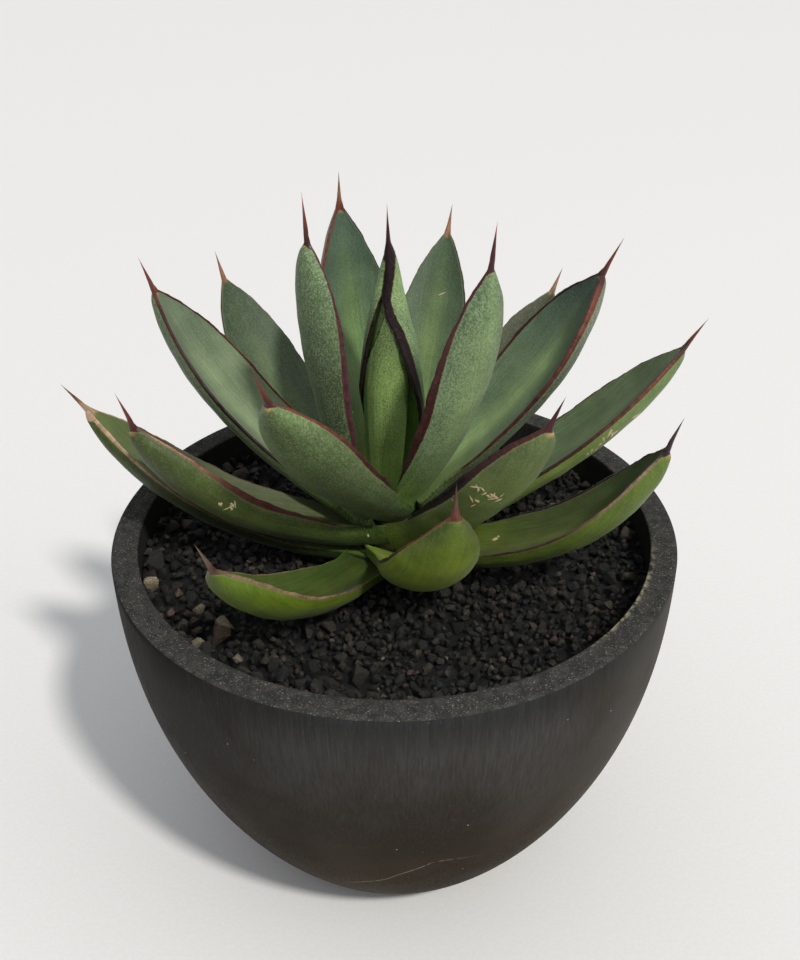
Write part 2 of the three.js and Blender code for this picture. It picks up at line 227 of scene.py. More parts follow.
# Each leaf's place and form. Angles are in degrees and lengths in millimetres: heading and turn of its
# line seen from above, radius and height of its root, rise of its line at base and tip, roll and twist
# about it, fold of its channel and how much that fold tightens along it, thickness of its body, length
# of its spine and how far the spine lifts from its line. A leaf with slender 1 narrows early towards
# its tip, and closing rolls the upper part shut; seam_turn then turns the seam of that roll.
# Each leaf's colours: face, back and belly are given at root, middle and tip, and belly is the middle
# of the back. centre is the middle of the face, and bloom tells how mottled the skin is. left and right
# are the margins as seen along the leaf from its root, at tip, middle and root, and left_width and
# right_width are the widths of their dark horn in millimetres at the same places. spine is given at
# base, middle and tip. cap is how far its horn reaches down in the middle of the blade, cap_slope how
# much further it reaches at the margins, and collar how tan the skin is just below it. Each scar or
# cluster of scars is given by its side, its place along the blade and across it from -1 to 1, its
# spread along and across the blade in millimetres, and a count.
USUAL_LEAF = dict(
    turn=0, roll=0, twist=0, seam_turn=0, slender=0, fold=38, tighten=0, closing=0, body=5,
    spine_length=10.8, spine_lift=2,
    face=((92, 118, 50), (84, 104, 80), (84, 104, 84)), centre=(112, 134, 84),
    back=((98, 128, 44), (94, 116, 78), (104, 128, 92)),
    belly=((104, 138, 40), (96, 122, 70), (100, 124, 84)), bloom=0.6, left=(MAROON, MAROON, UMBER),
    right=(MAROON, MAROON, UMBER), left_width=(1.1, 1.8, 1.2), right_width=(1.1, 1.8, 1.2),
    spine=(MAROON, BRICK, MAUVE_GREY), cap=0.4, cap_slope=1.3, collar=0.3, scars=(),
)
YELLOW_BELLY = ((104, 142, 34), (106, 140, 44), (112, 146, 56))
LEAVES = {
    "leaf_heart_wrap": dict(
        heading=77, turn=-4, root=(6, 116), rise=(85, 102), length=79, half_width=7.7, slender=1, fold=110,
        tighten=1.2, closing=280, roll=-8, twist=18, body=2.6, seam_turn=14, spine_length=14.3,
        spine_lift=8,
        face=((104, 134, 56), (126, 164, 64), (150, 188, 90)),
        back=((92, 122, 60), (96, 120, 80), (140, 168, 108)),
        belly=((92, 122, 60), (96, 120, 80), (140, 168, 108)), bloom=1, left=(PLUM, PLUM, PLUM),
        right=(PLUM, PLUM, PLUM), left_width=(0.4, 1.7, 1.2), right_width=(2.3, 2.5, 1.6),
        spine=(PLUM, MAROON, ROSE), cap=0.4, collar=0,
    ),
    "leaf_upper_left": dict(
        heading=187, turn=23, root=(7.3, 118.5), rise=(69, 92), length=83, half_width=10.3, fold=44,
        roll=5, twist=-8, body=4.3, spine_length=13.5, spine_lift=6,
        back=((64, 90, 22), (80, 94, 60), (103, 126, 86)),
        belly=((60, 84, 22), (74, 90, 54), (96, 117, 76)), bloom=0.8, left=(MAROON, PLUM_PINK, PLUM),
        right=(MAROON, PLUM_PINK, PLUM), left_width=(0.9, 1.7, 1.1), right_width=(1.0, 2.1, 1.4),
        spine=(MAROON, BRICK, ROSE),
    ),
    # The bright root of this leaf's back and belly is painted light.
    "leaf_upper_front_right": dict(
        heading=310, turn=-4, root=(2, 122), rise=(50, 84), length=89, half_width=9.3, fold=33, roll=-2,
        body=4.1, spine_length=12.4, spine_lift=-2,
        back=((140, 176, 66), (110, 132, 92), (92, 114, 80)),
        belly=((140, 176, 66), (138, 163, 108), (108, 130, 86)), bloom=0.8, left=(BRICK, PLUM, PLUM),
        right=(MAROON, MAROON, PLUM), left_width=(0.7, 0.9, 0.7), right_width=(1.1, 2.2, 1.5),
        spine=(MAROON, MAROON, ROSE), collar=0.1,
    ),
    # The bright root of this leaf's face is painted light.
    "leaf_upper_back_left": dict(
        heading=112, turn=5, root=(6, 117), rise=(57, 83), length=84, half_width=12.2, slender=0.4,
        roll=-2, spine_lift=9,
        face=((160, 178, 92), (84, 104, 76), (72, 90, 73)), centre=(110, 138, 78),
        left=(BRICK, UMBER, UMBER), right=(PLUM, PLUM, PLUM), left_width=(1.2, 1.3, 0.8),
        right_width=(0.6, 0.7, 0.6), spine=(BRICK, COPPER, MAUVE_GREY), collar=0.8,
    ),
    "leaf_upper_back_right": dict(
        heading=73, turn=2, root=(6, 116), rise=(47, 50), length=82, half_width=11, slender=0.3, fold=28,
        roll=3, spine_length=9.8, spine_lift=-2,
        face=((92, 108, 64), (84, 102, 73), (64, 82, 57)), centre=(118, 142, 84),
        left=(UMBER, UMBER, UMBER), right=(UMBER, PLUM, PLUM), left_width=(0.4, 0.6, 0.6),
        right_width=(0.8, 0.7, 0.6), spine=(COPPER, COPPER, UMBER), collar=0.6,
        scars=(("face", 0.77, 0.2, (0.2, 0.2), 1),),
    ),
    "leaf_middle_front_left": dict(
        heading=240, turn=-10, root=(3, 121), rise=(34, 64), length=74, half_width=10.8, fold=35, roll=-19,
        spine_length=12.6,
        back=((70, 92, 30), (86, 102, 60), (98, 119, 72)),
        belly=((60, 78, 18), (78, 92, 48), (74, 90, 46)), bloom=0.5, left=(BRICK, MAROON, PLUM),
        right=(BRICK, MAROON, PLUM), left_width=(1.0, 1.5, 1.3), right_width=(1.0, 1.7, 1.4),
        spine=(MAROON, BRICK, BRICK), collar=1,
    ),
    "leaf_middle_right": dict(
        heading=23, turn=-13, root=(3.5, 124), rise=(22, 69), length=82, half_width=13, fold=43, roll=-2,
        spine_length=12, spine_lift=-7,
        face=((104, 126, 56), (92, 112, 82), (60, 76, 66)), centre=(140, 164, 106),
        back=((76, 92, 34), (80, 92, 66), (110, 118, 100)),
        belly=((76, 92, 34), (80, 92, 66), (110, 118, 100)), left=(PLUM, MAROON, UMBER),
        right=(BRICK, MAROON, UMBER), left_width=(1.6, 1.9, 1.0), right_width=(1.7, 1.3, 0.8),
        spine=(MAROON, BRICK, BRICK), collar=0.7,
    ),
    "leaf_middle_left": dict(
        heading=156, turn=6, root=(5.5, 115.5), rise=(18, 66), length=90, half_width=12.2, fold=43,
        roll=-3, twist=-2,
        face=((116, 134, 84), (120, 136, 102), (100, 116, 90)), centre=(140, 156, 118),
        back=((84, 110, 36), (86, 104, 68), (84, 102, 72)),
        belly=((84, 110, 36), (86, 104, 68), (84, 102, 72)), left=(MAROON, PLUM, UMBER),
        right=(MAROON, BRICK, UMBER), left_width=(1.1, 1.2, 0.8), right_width=(1.4, 1.6, 0.9),
        spine=(BRICK, BRICK, ROSE), collar=0.7,
    ),
    "leaf_middle_back_left": dict(
        heading=127, turn=7, root=(6.8, 112), rise=(11, 58), length=91, half_width=11, fold=19, roll=1,
        spine_length=9.2, spine_lift=9,
        face=((88, 100, 64), (76, 90, 66), (62, 76, 52)), centre=(92, 110, 70), left=(UMBER, UMBER, UMBER),
        right=(MAROON, PLUM, PLUM), left_width=(0.5, 0.7, 0.6), right_width=(0.7, 0.9, 0.7),
        spine=(COPPER, COPPER, UMBER), collar=0.6,
    ),
    "leaf_middle_back_right": dict(
        heading=46, turn=11, root=(6.6, 112), rise=(27, 37), length=85, half_width=10, fold=32,
        spine_length=9.2, spine_lift=3,
        face=((92, 118, 50), (72, 78, 50), (64, 66, 46)), left=(UMBER, UMBER, UMBER),
        left_width=(0.5, 0.8, 0.6), right_width=(0.5, 0.8, 0.6), spine=(TAN, COPPER, UMBER), collar=0.8,
    ),
    "leaf_middle_front_right": dict(
        heading=313, turn=13, root=(5.5, 113), rise=(31, 66), length=69, half_width=10.3, fold=44, roll=24,
        twist=-7, body=5.7,
        back=((66, 82, 16), (94, 108, 58), (76, 89, 48)),
        belly=((84, 98, 26), (116, 134, 64), (88, 102, 58)), bloom=0.25, left=(MAROON, INK, INK),
        right=(MAROON, INK, INK), left_width=(0.5, 0.8, 0.6), right_width=(1.4, 2.1, 1.4),
        spine=(MAROON, MAROON, UMBER), collar=1,
        scars=(("back", 0.66, 0.5, (0.8, 1.7), 13), ("back", 0.6, 0.6, (0.9, 0.4), 4)),
    ),
    "leaf_lower_right": dict(
        heading=8, turn=-5, root=(5, 111), rise=(18, 53), length=92, half_width=10.6, roll=4, twist=1,
        body=5.4, spine_length=11.2, spine_lift=3,
        face=((110, 130, 74), (99, 117, 83), (90, 104, 76)), centre=(108, 126, 84),
        back=(LIME, (112, 130, 62), (96, 118, 72)), belly=(LIME, (112, 130, 62), (96, 116, 70)), bloom=0.2,
        left=(PLUM, MAROON, UMBER), right=(BRICK, UMBER, UMBER), left_width=(1.0, 1.2, 0.8),
        right_width=(1.2, 1.1, 0.7), spine=(UMBER, BRICK, MAUVE_GREY), collar=1,
        scars=(("back", 0.66, 0.8, (3.2, 0.5), 12), ("back", 0.77, 0.72, (1.2, 0.5), 5)),
    ),
    "leaf_lower_left": dict(
        heading=186, turn=12, root=(2, 113.4), rise=(-5, 67), length=83, half_width=10.8, fold=57,
        roll=-14, twist=-5, body=6, spine_length=11.6, spine_lift=4,
        face=((92, 102, 56), (86, 94, 66), (74, 72, 52)), centre=(88, 96, 62),
        back=((52, 72, 10), (82, 96, 46), (62, 75, 32)), belly=((52, 72, 10), (72, 86, 34), (52, 62, 22)),
        bloom=0.2, left=((150, 106, 86), (84, 40, 34), MAROON), right=(MAUVE_GREY, MAROON, UMBER),
        left_width=(0.8, 1.7, 0.9), right_width=(0.8, 1.0, 0.6), spine=(MAROON, BRICK, ROSE), collar=0.9,
        scars=(("back", 0.64, -0.69, (0.3, 0.3), 2), ("back", 0.6, -0.7, (0.9, 0.8), 4)),
    ),
    "leaf_lowest_left": dict(
        heading=173, turn=6, root=(6, 106), rise=(-3, 59), length=93, half_width=10.6, fold=44, roll=4,
        twist=-10, body=5.1, spine_lift=-8,
        face=((96, 116, 40), (80, 96, 58), (100, 114, 68)), back=((40, 60, 8), (32, 42, 12), (62, 76, 20)),
        belly=((40, 60, 8), (32, 42, 12), (62, 78, 20)), bloom=0.15, left=(CORK, (70, 52, 40), UMBER),
        right=(CORK, MAROON, UMBER), left_width=(1.2, 0.8, 0.6), right_width=(1.2, 1.0, 0.7),
        spine=(CORK, (104, 62, 48), MAUVE_GREY), cap=2, collar=1,
    ),
    "leaf_lower_front_right": dict(
        heading=339, turn=-7, root=(7.7, 109), rise=(-2, 71), length=86, half_width=10.3, fold=48, roll=-1,
        twist=-4, body=5.4, spine_length=11.2, spine_lift=0,
        face=((90, 108, 26), (73, 85, 46), (68, 80, 54)), centre=(98, 110, 52),
        back=((80, 102, 14), (82, 98, 28), (88, 106, 40)),
        belly=((80, 102, 14), (80, 98, 26), (90, 108, 40)), bloom=0.15, left=(PLUM, PLUM, UMBER),
        right=((142, 112, 96), (74, 52, 42), MAROON), left_width=(1.2, 1.6, 0.8),
        right_width=(0.9, 0.8, 0.4), spine=(PLUM, (74, 50, 54), PLUM), collar=1,
        scars=(("face", 0.26, -0.5, (0.3, 0.9), 3), ("face", 0.22, 0.7, (0.4, 0.3), 2)),
    ),
    "leaf_lower_front": dict(
        heading=282, turn=17, root=(6, 107), rise=(5, 81), length=62, half_width=11.8, slender=0.35,
        fold=37, roll=12, twist=2, body=5.7, spine_lift=8,
        face=((120, 140, 50), (110, 128, 54), (78, 100, 46)), centre=(110, 122, 56),
        back=((92, 114, 24), (120, 140, 40), (60, 74, 26)),
        belly=((92, 114, 24), (132, 152, 36), (78, 94, 28)), bloom=0.15, left=(BRICK, BRICK, UMBER),
        right=(BRICK, UMBER, UMBER), left_width=(0.5, 0.6, 0.5), right_width=(0.7, 1.2, 0.9),
        spine=((92, 50, 38), (88, 60, 46), UMBER), collar=0,
    ),
    # The dark root of this leaf's face is painted shade.
    "leaf_lower_front_left": dict(
        heading=231, turn=6, root=(8.5, 105.5), rise=(-7, 64), length=77, half_width=9.5, fold=57, roll=2,
        twist=-8, body=4.7, spine_length=12, spine_lift=0,
        face=((46, 62, 16), (66, 82, 32), (84, 106, 44)), centre=(76, 88, 38),
        back=((72, 94, 10), (84, 102, 8), (80, 102, 14)), belly=((72, 94, 10), (92, 112, 10), (66, 80, 8)),
        bloom=0.1, left=((112, 92, 68), (126, 106, 78), UMBER),
        right=((112, 92, 68), (126, 106, 78), UMBER), left_width=(1.2, 1.1, 0.6),
        right_width=(0.7, 0.7, 0.5), spine=((70, 48, 36), (98, 78, 64), (128, 104, 88)), collar=0,
    ),
    "leaf_lower_back_left": dict(
        heading=122, root=(6, 107.5), rise=(0, 45), length=64, half_width=10.2,
        belly=YELLOW_BELLY,
    ),
    "leaf_lower_back": dict(
        heading=95, root=(6, 107.5), rise=(0, 47), length=74, half_width=10.4,
        belly=YELLOW_BELLY,
    ),
    "leaf_lower_back_right": dict(
        heading=65, root=(6, 107.5), rise=(0, 46), length=66, half_width=10.2,
        belly=YELLOW_BELLY,
    ),
}


def linear(colour):
    """Linear light of a display colour."""
    share = np.asarray(colour, float) / 255
    return np.where(share <= 0.04045, share / 12.92, ((share + 0.055) / 1.055) ** 2.4)


def step_up(low, high, value):
    """0 below low, 1 above high and smooth between them."""
    t = np.clip((value - low) / (high - low), 0, 1)
    return t * t * (3 - 2 * t)


def smooth_share(stations, shares, at):
    """Values of a smooth curve through the given stations and shares."""
    stations = np.asarray(stations, float)
    shares = np.asarray(shares, float)
    last = len(stations) - 1
    low = np.maximum(np.arange(last + 1) - 1, 0)
    high = np.minimum(np.arange(last + 1) + 1, last)
    slopes = (shares[high] - shares[low]) / (stations[high] - stations[low])
    i = np.clip(np.searchsorted(stations, at) - 1, 0, last - 1)
    span = stations[i + 1] - stations[i]
    t = np.clip((at - stations[i]) / span, 0, 1)
    rest = 1 - t
    return (
        shares[i] * (1 + 2 * t) * rest**2
        + span * slopes[i] * t * rest**2
        + shares[i + 1] * t**2 * (3 - 2 * t)
        - span * slopes[i + 1] * t**2 * rest
    )


def three_colours(colours, share):
    """Colours between the first, middle and last of three, by share."""
    first, middle, last = (linear(c) for c in colours)
    share = np.asarray(share, float)[..., None]
    early = first + (middle - first) * step_up(0, 0.45, share)
    return early + (last - early) * step_up(0.5, 1, share)


def ripple(rng, value, waves, length):
    """A smooth random line between about -1 and 1, with ripples down to the given length."""
    total = np.zeros_like(np.asarray(value, float))
    for k in range(waves):
        size = length * 1.7**k
        total += np.sin(2 * math.pi * (value / size + rng.random())) * 0.75**(waves - 1 - k)
    return total / waves**0.5


def add_object(name, data):
    made = bpy.data.objects.new(name, data)
    bpy.context.scene.collection.objects.link(made)
    return made


def new_piece(name, points, faces, material, replaced, smooth=True):
    """A Blender object of points in millimetres, which stands for a CAD node and rides with the part."""
    mesh = bpy.data.meshes.new(name)
    mesh.from_pydata((np.asarray(points) * MM).tolist(), [], faces)
    mesh.update()
    mesh.materials.append(material)
    if smooth:
        mesh.shade_smooth()
    piece = add_object(name, mesh)
    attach(piece, "root")
    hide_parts(replaced)
    return piece


def give(mesh, name, kind, values):
    """Writes one value for each point of a mesh, for its material to read."""
    layer = mesh.attributes.new(name, kind, "POINT")
    values = np.asarray(values, np.float32)
    if kind == "FLOAT_COLOR":
        values = np.concatenate([values, np.ones((len(values), 1), np.float32)], axis=1)
    field = {"FLOAT": "value", "FLOAT_VECTOR": "vector", "FLOAT_COLOR": "color"}[kind]
    layer.data.foreach_set(field, values.ravel())


def loft_faces(ring_count, count):
    """Faces through rings of points that follow one another, and to two hub points that close them."""
    faces = []
    for ring in range(ring_count - 1):
        for k in range(count):
            a = ring * count + k
            b = ring * count + (k + 1) % count
            faces.append((a, b, b + count, a + count))
    first_hub = ring_count * count
    last = first_hub - count
    for k in range(count):
        following = (k + 1) % count
        faces.append((first_hub, following, k))
        faces.append((first_hub + 1, last + k, last + following))
    return faces


def turn_outwards(mesh):
    """Makes every face of a closed mesh look outwards."""
    shell = bmesh.new()
    shell.from_mesh(mesh)
    bmesh.ops.recalc_face_normals(shell, faces=shell.faces)
    shell.to_mesh(mesh)
    shell.free()


class Finish:
    """A material written as short calls. Most of them add a node and return its output."""

    def __init__(self, name, **uniform):
        self.material = bpy.data.materials.new(name)
        self.material.use_nodes = True
        self.tree = self.material.node_tree
        self.surface = self.tree.nodes["Principled BSDF"]
        for socket, value in uniform.items():
            self.surface.inputs[socket.replace("_", " ")].default_value = value

    def node(self, kind, inputs, **settings):
        """Adds a shader node with its inputs and settings, and returns the node itself."""
        made = self.tree.nodes.new("ShaderNode" + kind)
        for setting, value in settings.items():
            setattr(made, setting, value)
        for socket, value in inputs.items():
            self.put(made.inputs[socket], value)
        return made

    def put(self, socket, value):
        """Links another node's output to a socket, or sets it to a number or a display colour."""
        if isinstance(value, bpy.types.NodeSocket):
            self.tree.links.new(value, socket)
        elif socket.type == "RGBA":
            socket.default_value = (*linear(value), 1)
        else:
            socket.default_value = value

    def attribute(self, name, output="Fac"):
        return self.node("Attribute", {}, attribute_name=name).outputs[output]

    def place(self):
        """The point's place on the object, in millimetres."""
        where = self.node("TexCoord", {}).outputs["Object"]
        return self.stretch(where, 1 / MM, 1 / MM, 1 / MM)

    def stretch(self, where, x, y, z):
        made = self.node("VectorMath", {0: where, 1: (x, y, z)}, operation="MULTIPLY")
        return made.outputs["Vector"]

    def noise(self, where, scale, detail=3, roughness=0.55, distortion=0):
        inputs = {
            "Vector": where, "Scale": scale, "Detail": detail, "Roughness": roughness,
            "Distortion": distortion,
        }
        return self.node("TexNoise", inputs).outputs["Fac"]

    def cells(self, where, scale):
        """Distance from the middles of random cells."""
        return self.node("TexVoronoi", {"Vector": where, "Scale": scale}).outputs["Distance"]

    def calculate(self, operation, *values):
        return self.node("Math", dict(enumerate(values)), operation=operation).outputs[0]

    def sum(self, a, b):
        return self.calculate("ADD", a, b)

    def less(self, a, b):
        return self.calculate("SUBTRACT", a, b)

    def times(self, a, b):
        return self.calculate("MULTIPLY", a, b)

    def span(self, value, low, high, to_low=0, to_high=1):
        """Carries a value smoothly from the range low to high over to another range."""
        inputs = {"Value": value, "From Min": low, "From Max": high, "To Min": to_low, "To Max": to_high}
        return self.node("MapRange", inputs, interpolation_type="SMOOTHSTEP").outputs["Result"]

    def mix(self, share, a, b):
        """The colour a where the share is 0 and b where it is 1."""
        return self.node("Mix", {"Factor": share, 6: a, 7: b}, data_type="RGBA").outputs[2]

    def shade(self, colour, factor):
        """A colour made lighter or darker by a factor."""
        made = self.node("VectorMath", {0: colour, "Scale": factor}, operation="SCALE")
        return made.outputs["Vector"]

    def bump(self, height, depth, under=None):
        """A bump of that depth in millimetres where the height is 1, on top of another one if given."""
        inputs = {"Height": height, "Distance": depth * MM, "Strength": 1}
        if under is not None:
            inputs["Normal"] = under
        return self.node("Bump", inputs).outputs["Normal"]

    def done(self, **linked):
        """Links the last outputs to the surface and returns the material."""
        for socket, value in linked.items():
            self.put(self.surface.inputs[socket.replace("_", " ")], value)
        return self.material


def leaf_finish():
    """Waxy leaf skin with its mottled bloom, and the horn of margins and spines."""
    f = Finish("leaf_skin", IOR=1.42, Specular_IOR_Level=0.36, Sheen_Weight=0.06, Sheen_Roughness=0.4)
    where = f.attribute("place", "Vector")
    tissue = f.attribute("tissue", "Color")
    horn = f.attribute("horn", "Color")
    reach = f.attribute("reach")
    bloom = f.attribute("bloom")

    broad = f.noise(where, 0.11, 3)
    streaks = f.noise(f.stretch(where, 0.06, 1.5, 1), 1, 4, 0.6)
    grain = f.noise(f.stretch(where, 0.7, 1, 1), 2.9, 2, 0.6, 0.5)
    fine = f.noise(where, 3.2, 3, 0.6)

    skin = f.shade(tissue, f.span(broad, 0.3, 0.7, 0.84, 1.14))
    skin = f.shade(skin, f.span(streaks, 0.3, 0.7, 0.86, 1.12))
    pale = f.mix(0.5, skin, (168, 184, 158))
    pale_share = f.times(f.span(grain, 0.5, 0.62, 0, 0.72), bloom)
    skin = f.mix(pale_share, skin, pale)
    dark_share = f.times(f.span(grain, 0.49, 0.39, 0, 0.75), bloom)
    skin = f.mix(dark_share, skin, f.shade(skin, 0.5))
    pores = f.span(fine, 0.35, 0.65, 0.93, 1.06)
    skin = f.shade(skin, pores)
    dust = f.span(f.cells(where, 0.16), 0.055, 0.02)
    dust = f.times(dust, f.span(f.noise(where, 0.05, 1), 0.52, 0.6))
    skin = f.mix(dust, skin, (190, 184, 158))

    ragged = f.less(f.noise(where, 0.9, 4, 0.65), 0.5)
    edge = f.sum(reach, f.times(ragged, 0.55))
    rim = f.times(f.span(edge, 0.5, 0.1), 0.45)
    skin = f.mix(rim, skin, f.mix(0.5, skin, (150, 138, 96)))
    horn_share = f.span(edge, 0.14, -0.08)
    flecks = f.noise(f.stretch(where, 0.3, 2, 1), 1.2, 4, 0.7)
    horn = f.shade(horn, f.span(flecks, 0.3, 0.72, 0.68, 1.35))
    colour = f.mix(horn_share, skin, horn)

    waxy = f.span(streaks, 0.3, 0.7, 0.46, 0.6)
    polished = f.span(flecks, 0.3, 0.7, 0.26, 0.46)
    roughness = f.node("Mix", {"Factor": horn_share, 2: waxy, 3: polished}, data_type="FLOAT")
    relief = f.bump(streaks, 0.1)
    relief = f.bump(f.times(grain, f.sum(bloom, 0.25)), 0.13, relief)
    relief = f.bump(f.times(flecks, horn_share), 0.16, relief)
    return f.done(Base_Color=colour, Roughness=roughness.outputs[0], Normal=relief)


def leaf_line(leaf, s):
    """Points, directions, sides and upper normals of a leaf's centre line at the shares s."""

    def direction(share):
        turn = np.radians(leaf["heading"] + leaf["turn"] * share)
        rise = np.radians(leaf["rise"][0] + (leaf["rise"][1] - leaf["rise"][0]) * share)
        return np.stack([np.cos(rise) * np.cos(turn), np.cos(rise) * np.sin(turn), np.sin(rise)], -1)

    heading = math.radians(leaf["heading"])
    root_radius, root_height = leaf["root"]
    root = (root_radius * math.cos(heading), root_radius * math.sin(heading), root_height)
    steps = direction((np.arange(LINE_STEPS) + 0.5) / LINE_STEPS) * leaf["length"] / LINE_STEPS
    line = np.vstack([root, root + np.cumsum(steps, axis=0)])
    stations = np.linspace(0, 1, LINE_STEPS + 1)
    at = np.stack([np.interp(s, stations, line[:, k]) for k in range(3)], -1)
    along = direction(s)
    turn = np.radians(leaf["heading"] + leaf["turn"] * s)
    level = np.stack([np.sin(turn), -np.cos(turn), 0 * turn], -1)
    upright = np.cross(level, along)
    seam_turn = leaf["seam_turn"] * step_up(SEAM_FROM, SEAM_FULL_AT, s)
    roll = np.radians(leaf["roll"] + leaf["twist"] * s + seam_turn)[:, None]
    side = level * np.cos(roll) + upright * np.sin(roll)
    up = upright * np.cos(roll) - level * np.sin(roll)
    return at, along, side, up


def leaf_section():
    """The ring round a leaf: each point's share u of the half width, its kind, and its bead angle.

    The ring runs over the face from left to right, round the right margin, back under the leaf and
    round the left margin. u is 1 at the right foot of the margin and -1 at the left one.
    """
    face = -np.cos(np.linspace(0, math.pi, FACE_POINTS))
    bead = np.radians(np.linspace(-BEAD_TURN, BEAD_TURN, BEAD_POINTS))
    back = np.cos(np.linspace(0, math.pi, BACK_POINTS))
    u = np.concatenate([face, np.ones(BEAD_POINTS), back, -np.ones(BEAD_POINTS)])
    kind = np.repeat(
        ["face", "bead", "back", "bead"], [FACE_POINTS, BEAD_POINTS, BACK_POINTS, BEAD_POINTS]
    )
    angle = np.concatenate([np.zeros(FACE_POINTS), bead, np.zeros(BACK_POINTS), bead[::-1]])
    return u, kind, angle


def leaf_widths(leaf, s):
    """Half width, thickness, fold and channel radius of a blade at the shares s."""
    usual = smooth_share(WIDTH_STATIONS, WIDTH_SHARES, s)
    slender = smooth_share(WIDTH_STATIONS, SLENDER_SHARES, s)
    half_width = leaf["half_width"] * (usual + (slender - usual) * leaf["slender"])
    body = leaf["body"] * smooth_share(BODY_STATIONS, BODY_SHARES, s)
    opening = BASE_FOLD_SHARE + (1 - BASE_FOLD_SHARE) * np.minimum(1, s / FOLD_FULL_AT)
    open_fold = leaf["fold"] * opening * (1 + leaf["tighten"] * (s - FOLD_NAMED_AT))
    rolled = open_fold + leaf["closing"] * np.maximum(0, s - CLOSING_FROM)
    fold = np.radians(np.minimum(rolled, MOST_FOLD))
    radius = half_width / np.sin(np.minimum(fold, math.pi / 2))
    return half_width, body, fold, radius


def margin_width(widths, s):
    """Width of the dark margin along a leaf, which fades out at the root."""
    tip, middle, root = widths
    return smooth_share(MARGIN_STATIONS, (-0.6, 0, root, middle, tip, tip), s)


class Blade:
    """The skin of a leaf's blade: rings of points, and where each point lies on the leaf."""

    def __init__(self, leaf, rng):
        self.leaf = leaf
        self.s = 1 - (1 - np.linspace(0, 1, BLADE_RINGS)) ** 1.25
        self.u, kind, self.bead_angle = leaf_section()
        self.is_face = kind == "face"
        self.is_back = kind == "back"
        self.is_bead = kind == "bead"
        self.mm_along = self.s * leaf["length"]
        left = margin_width(leaf["left_width"], self.s)[:, None]
        right = margin_width(leaf["right_width"], self.s)[:, None]
        self.margin = np.where(self.u[None] > 0, right, left)
        half_width, body, fold, radius = leaf_widths(leaf, self.s)
        self.fold = fold
        self.half_way = radius * fold
        foot = np.minimum(MARGIN_FOOT, 0.3 * self.half_way)
        self.shared_u = self.u[None] * (1 - foot / self.half_way)[:, None]
        self.from_edge = self.half_way[:, None] * (1 - np.abs(self.shared_u))
        self.across = self.shared_u * self.half_way[:, None]
        depth, out = self.relief(body, np.minimum(1, half_width / 3), rng)
        self.rings = self.place(depth, out, fold, radius)

    def relief(self, body, size, rng):
        """How far each point lies behind the face of the leaf, and outwards past its margin."""
        edge = (MARGIN_THICKNESS * np.minimum(1, body / 2))[:, None]
        rounded = (1 - np.minimum(1, np.abs(self.shared_u)) ** BACK_FULLNESS) ** BACK_ROUNDNESS
        fillet = 0.25 + 0.75 * step_up(0, MARGIN_FILLET, self.from_edge)
        flat = step_up(0.3, 2.5, self.from_edge) * step_up(1, 0.85, self.s)[:, None]
        drift = 0.6 * ripple(rng, self.mm_along, 3, 14)[:, None]
        flutes = ripple(rng, self.across + drift, 4, FLUTE_WIDTH)
        swells = ripple(rng, self.mm_along[:, None] + 3 * self.shared_u, 3, SWELL_LENGTH)
        waves = (FLUTE_DEPTH * flutes + SWELL_DEPTH * swells) * flat
        back = edge + (body[:, None] - edge) * rounded * fillet + waves
        wobbles = [ripple(rng, self.mm_along, 5, MARGIN_WOBBLE_LENGTH)[:, None] for _ in range(2)]
        wobble = np.where(self.u[None] > 0, wobbles[0], wobbles[1]) * MARGIN_WOBBLE
        bead = BEAD_RADIUS * size[:, None] * np.clip(self.margin / 1.8, 0.35, 1.15) * (1 + 0.7 * wobble)
        bead_depth = edge / 2 + bead * np.sin(self.bead_angle)
        out = bead * np.cos(self.bead_angle) + (wobble - BEAD_INSET) * size[:, None]
        depth = np.where(self.is_face, waves * 0.8, np.where(self.is_back, back, bead_depth))
        return depth, np.where(self.is_bead, out, 0)

    def place(self, depth, out, fold, radius):
        """The rings of points, bent round the channel of the leaf."""
        at, self.along, self.side, self.up = leaf_line(self.leaf, self.s)
        shares = np.where(self.is_bead, self.u[None], self.shared_u)
        angle = fold[:, None] * shares + np.sign(self.u) * out / radius[:, None]
        reach = radius[:, None] + depth
        sideways = (reach * np.sin(angle))[..., None] * self.side[:, None]
        upwards = (radius[:, None] - reach * np.cos(angle))[..., None] * self.up[:, None]
        return at[:, None] + sideways + upwards

    def point(self, side, s, u):
        """The point of the face or of the back at the shares s and u."""
        columns = np.flatnonzero(self.is_face if side == "face" else self.is_back)
        columns = columns[np.argsort(self.u[columns])]
        row = np.interp(s, self.s, np.arange(BLADE_RINGS))
        low = min(int(row), BLADE_RINGS - 2)
        curve = self.rings[low, columns] + (row - low) * (
            self.rings[low + 1, columns] - self.rings[low, columns]
        )
        return np.array([np.interp(u, self.u[columns], curve[:, k]) for k in range(3)])


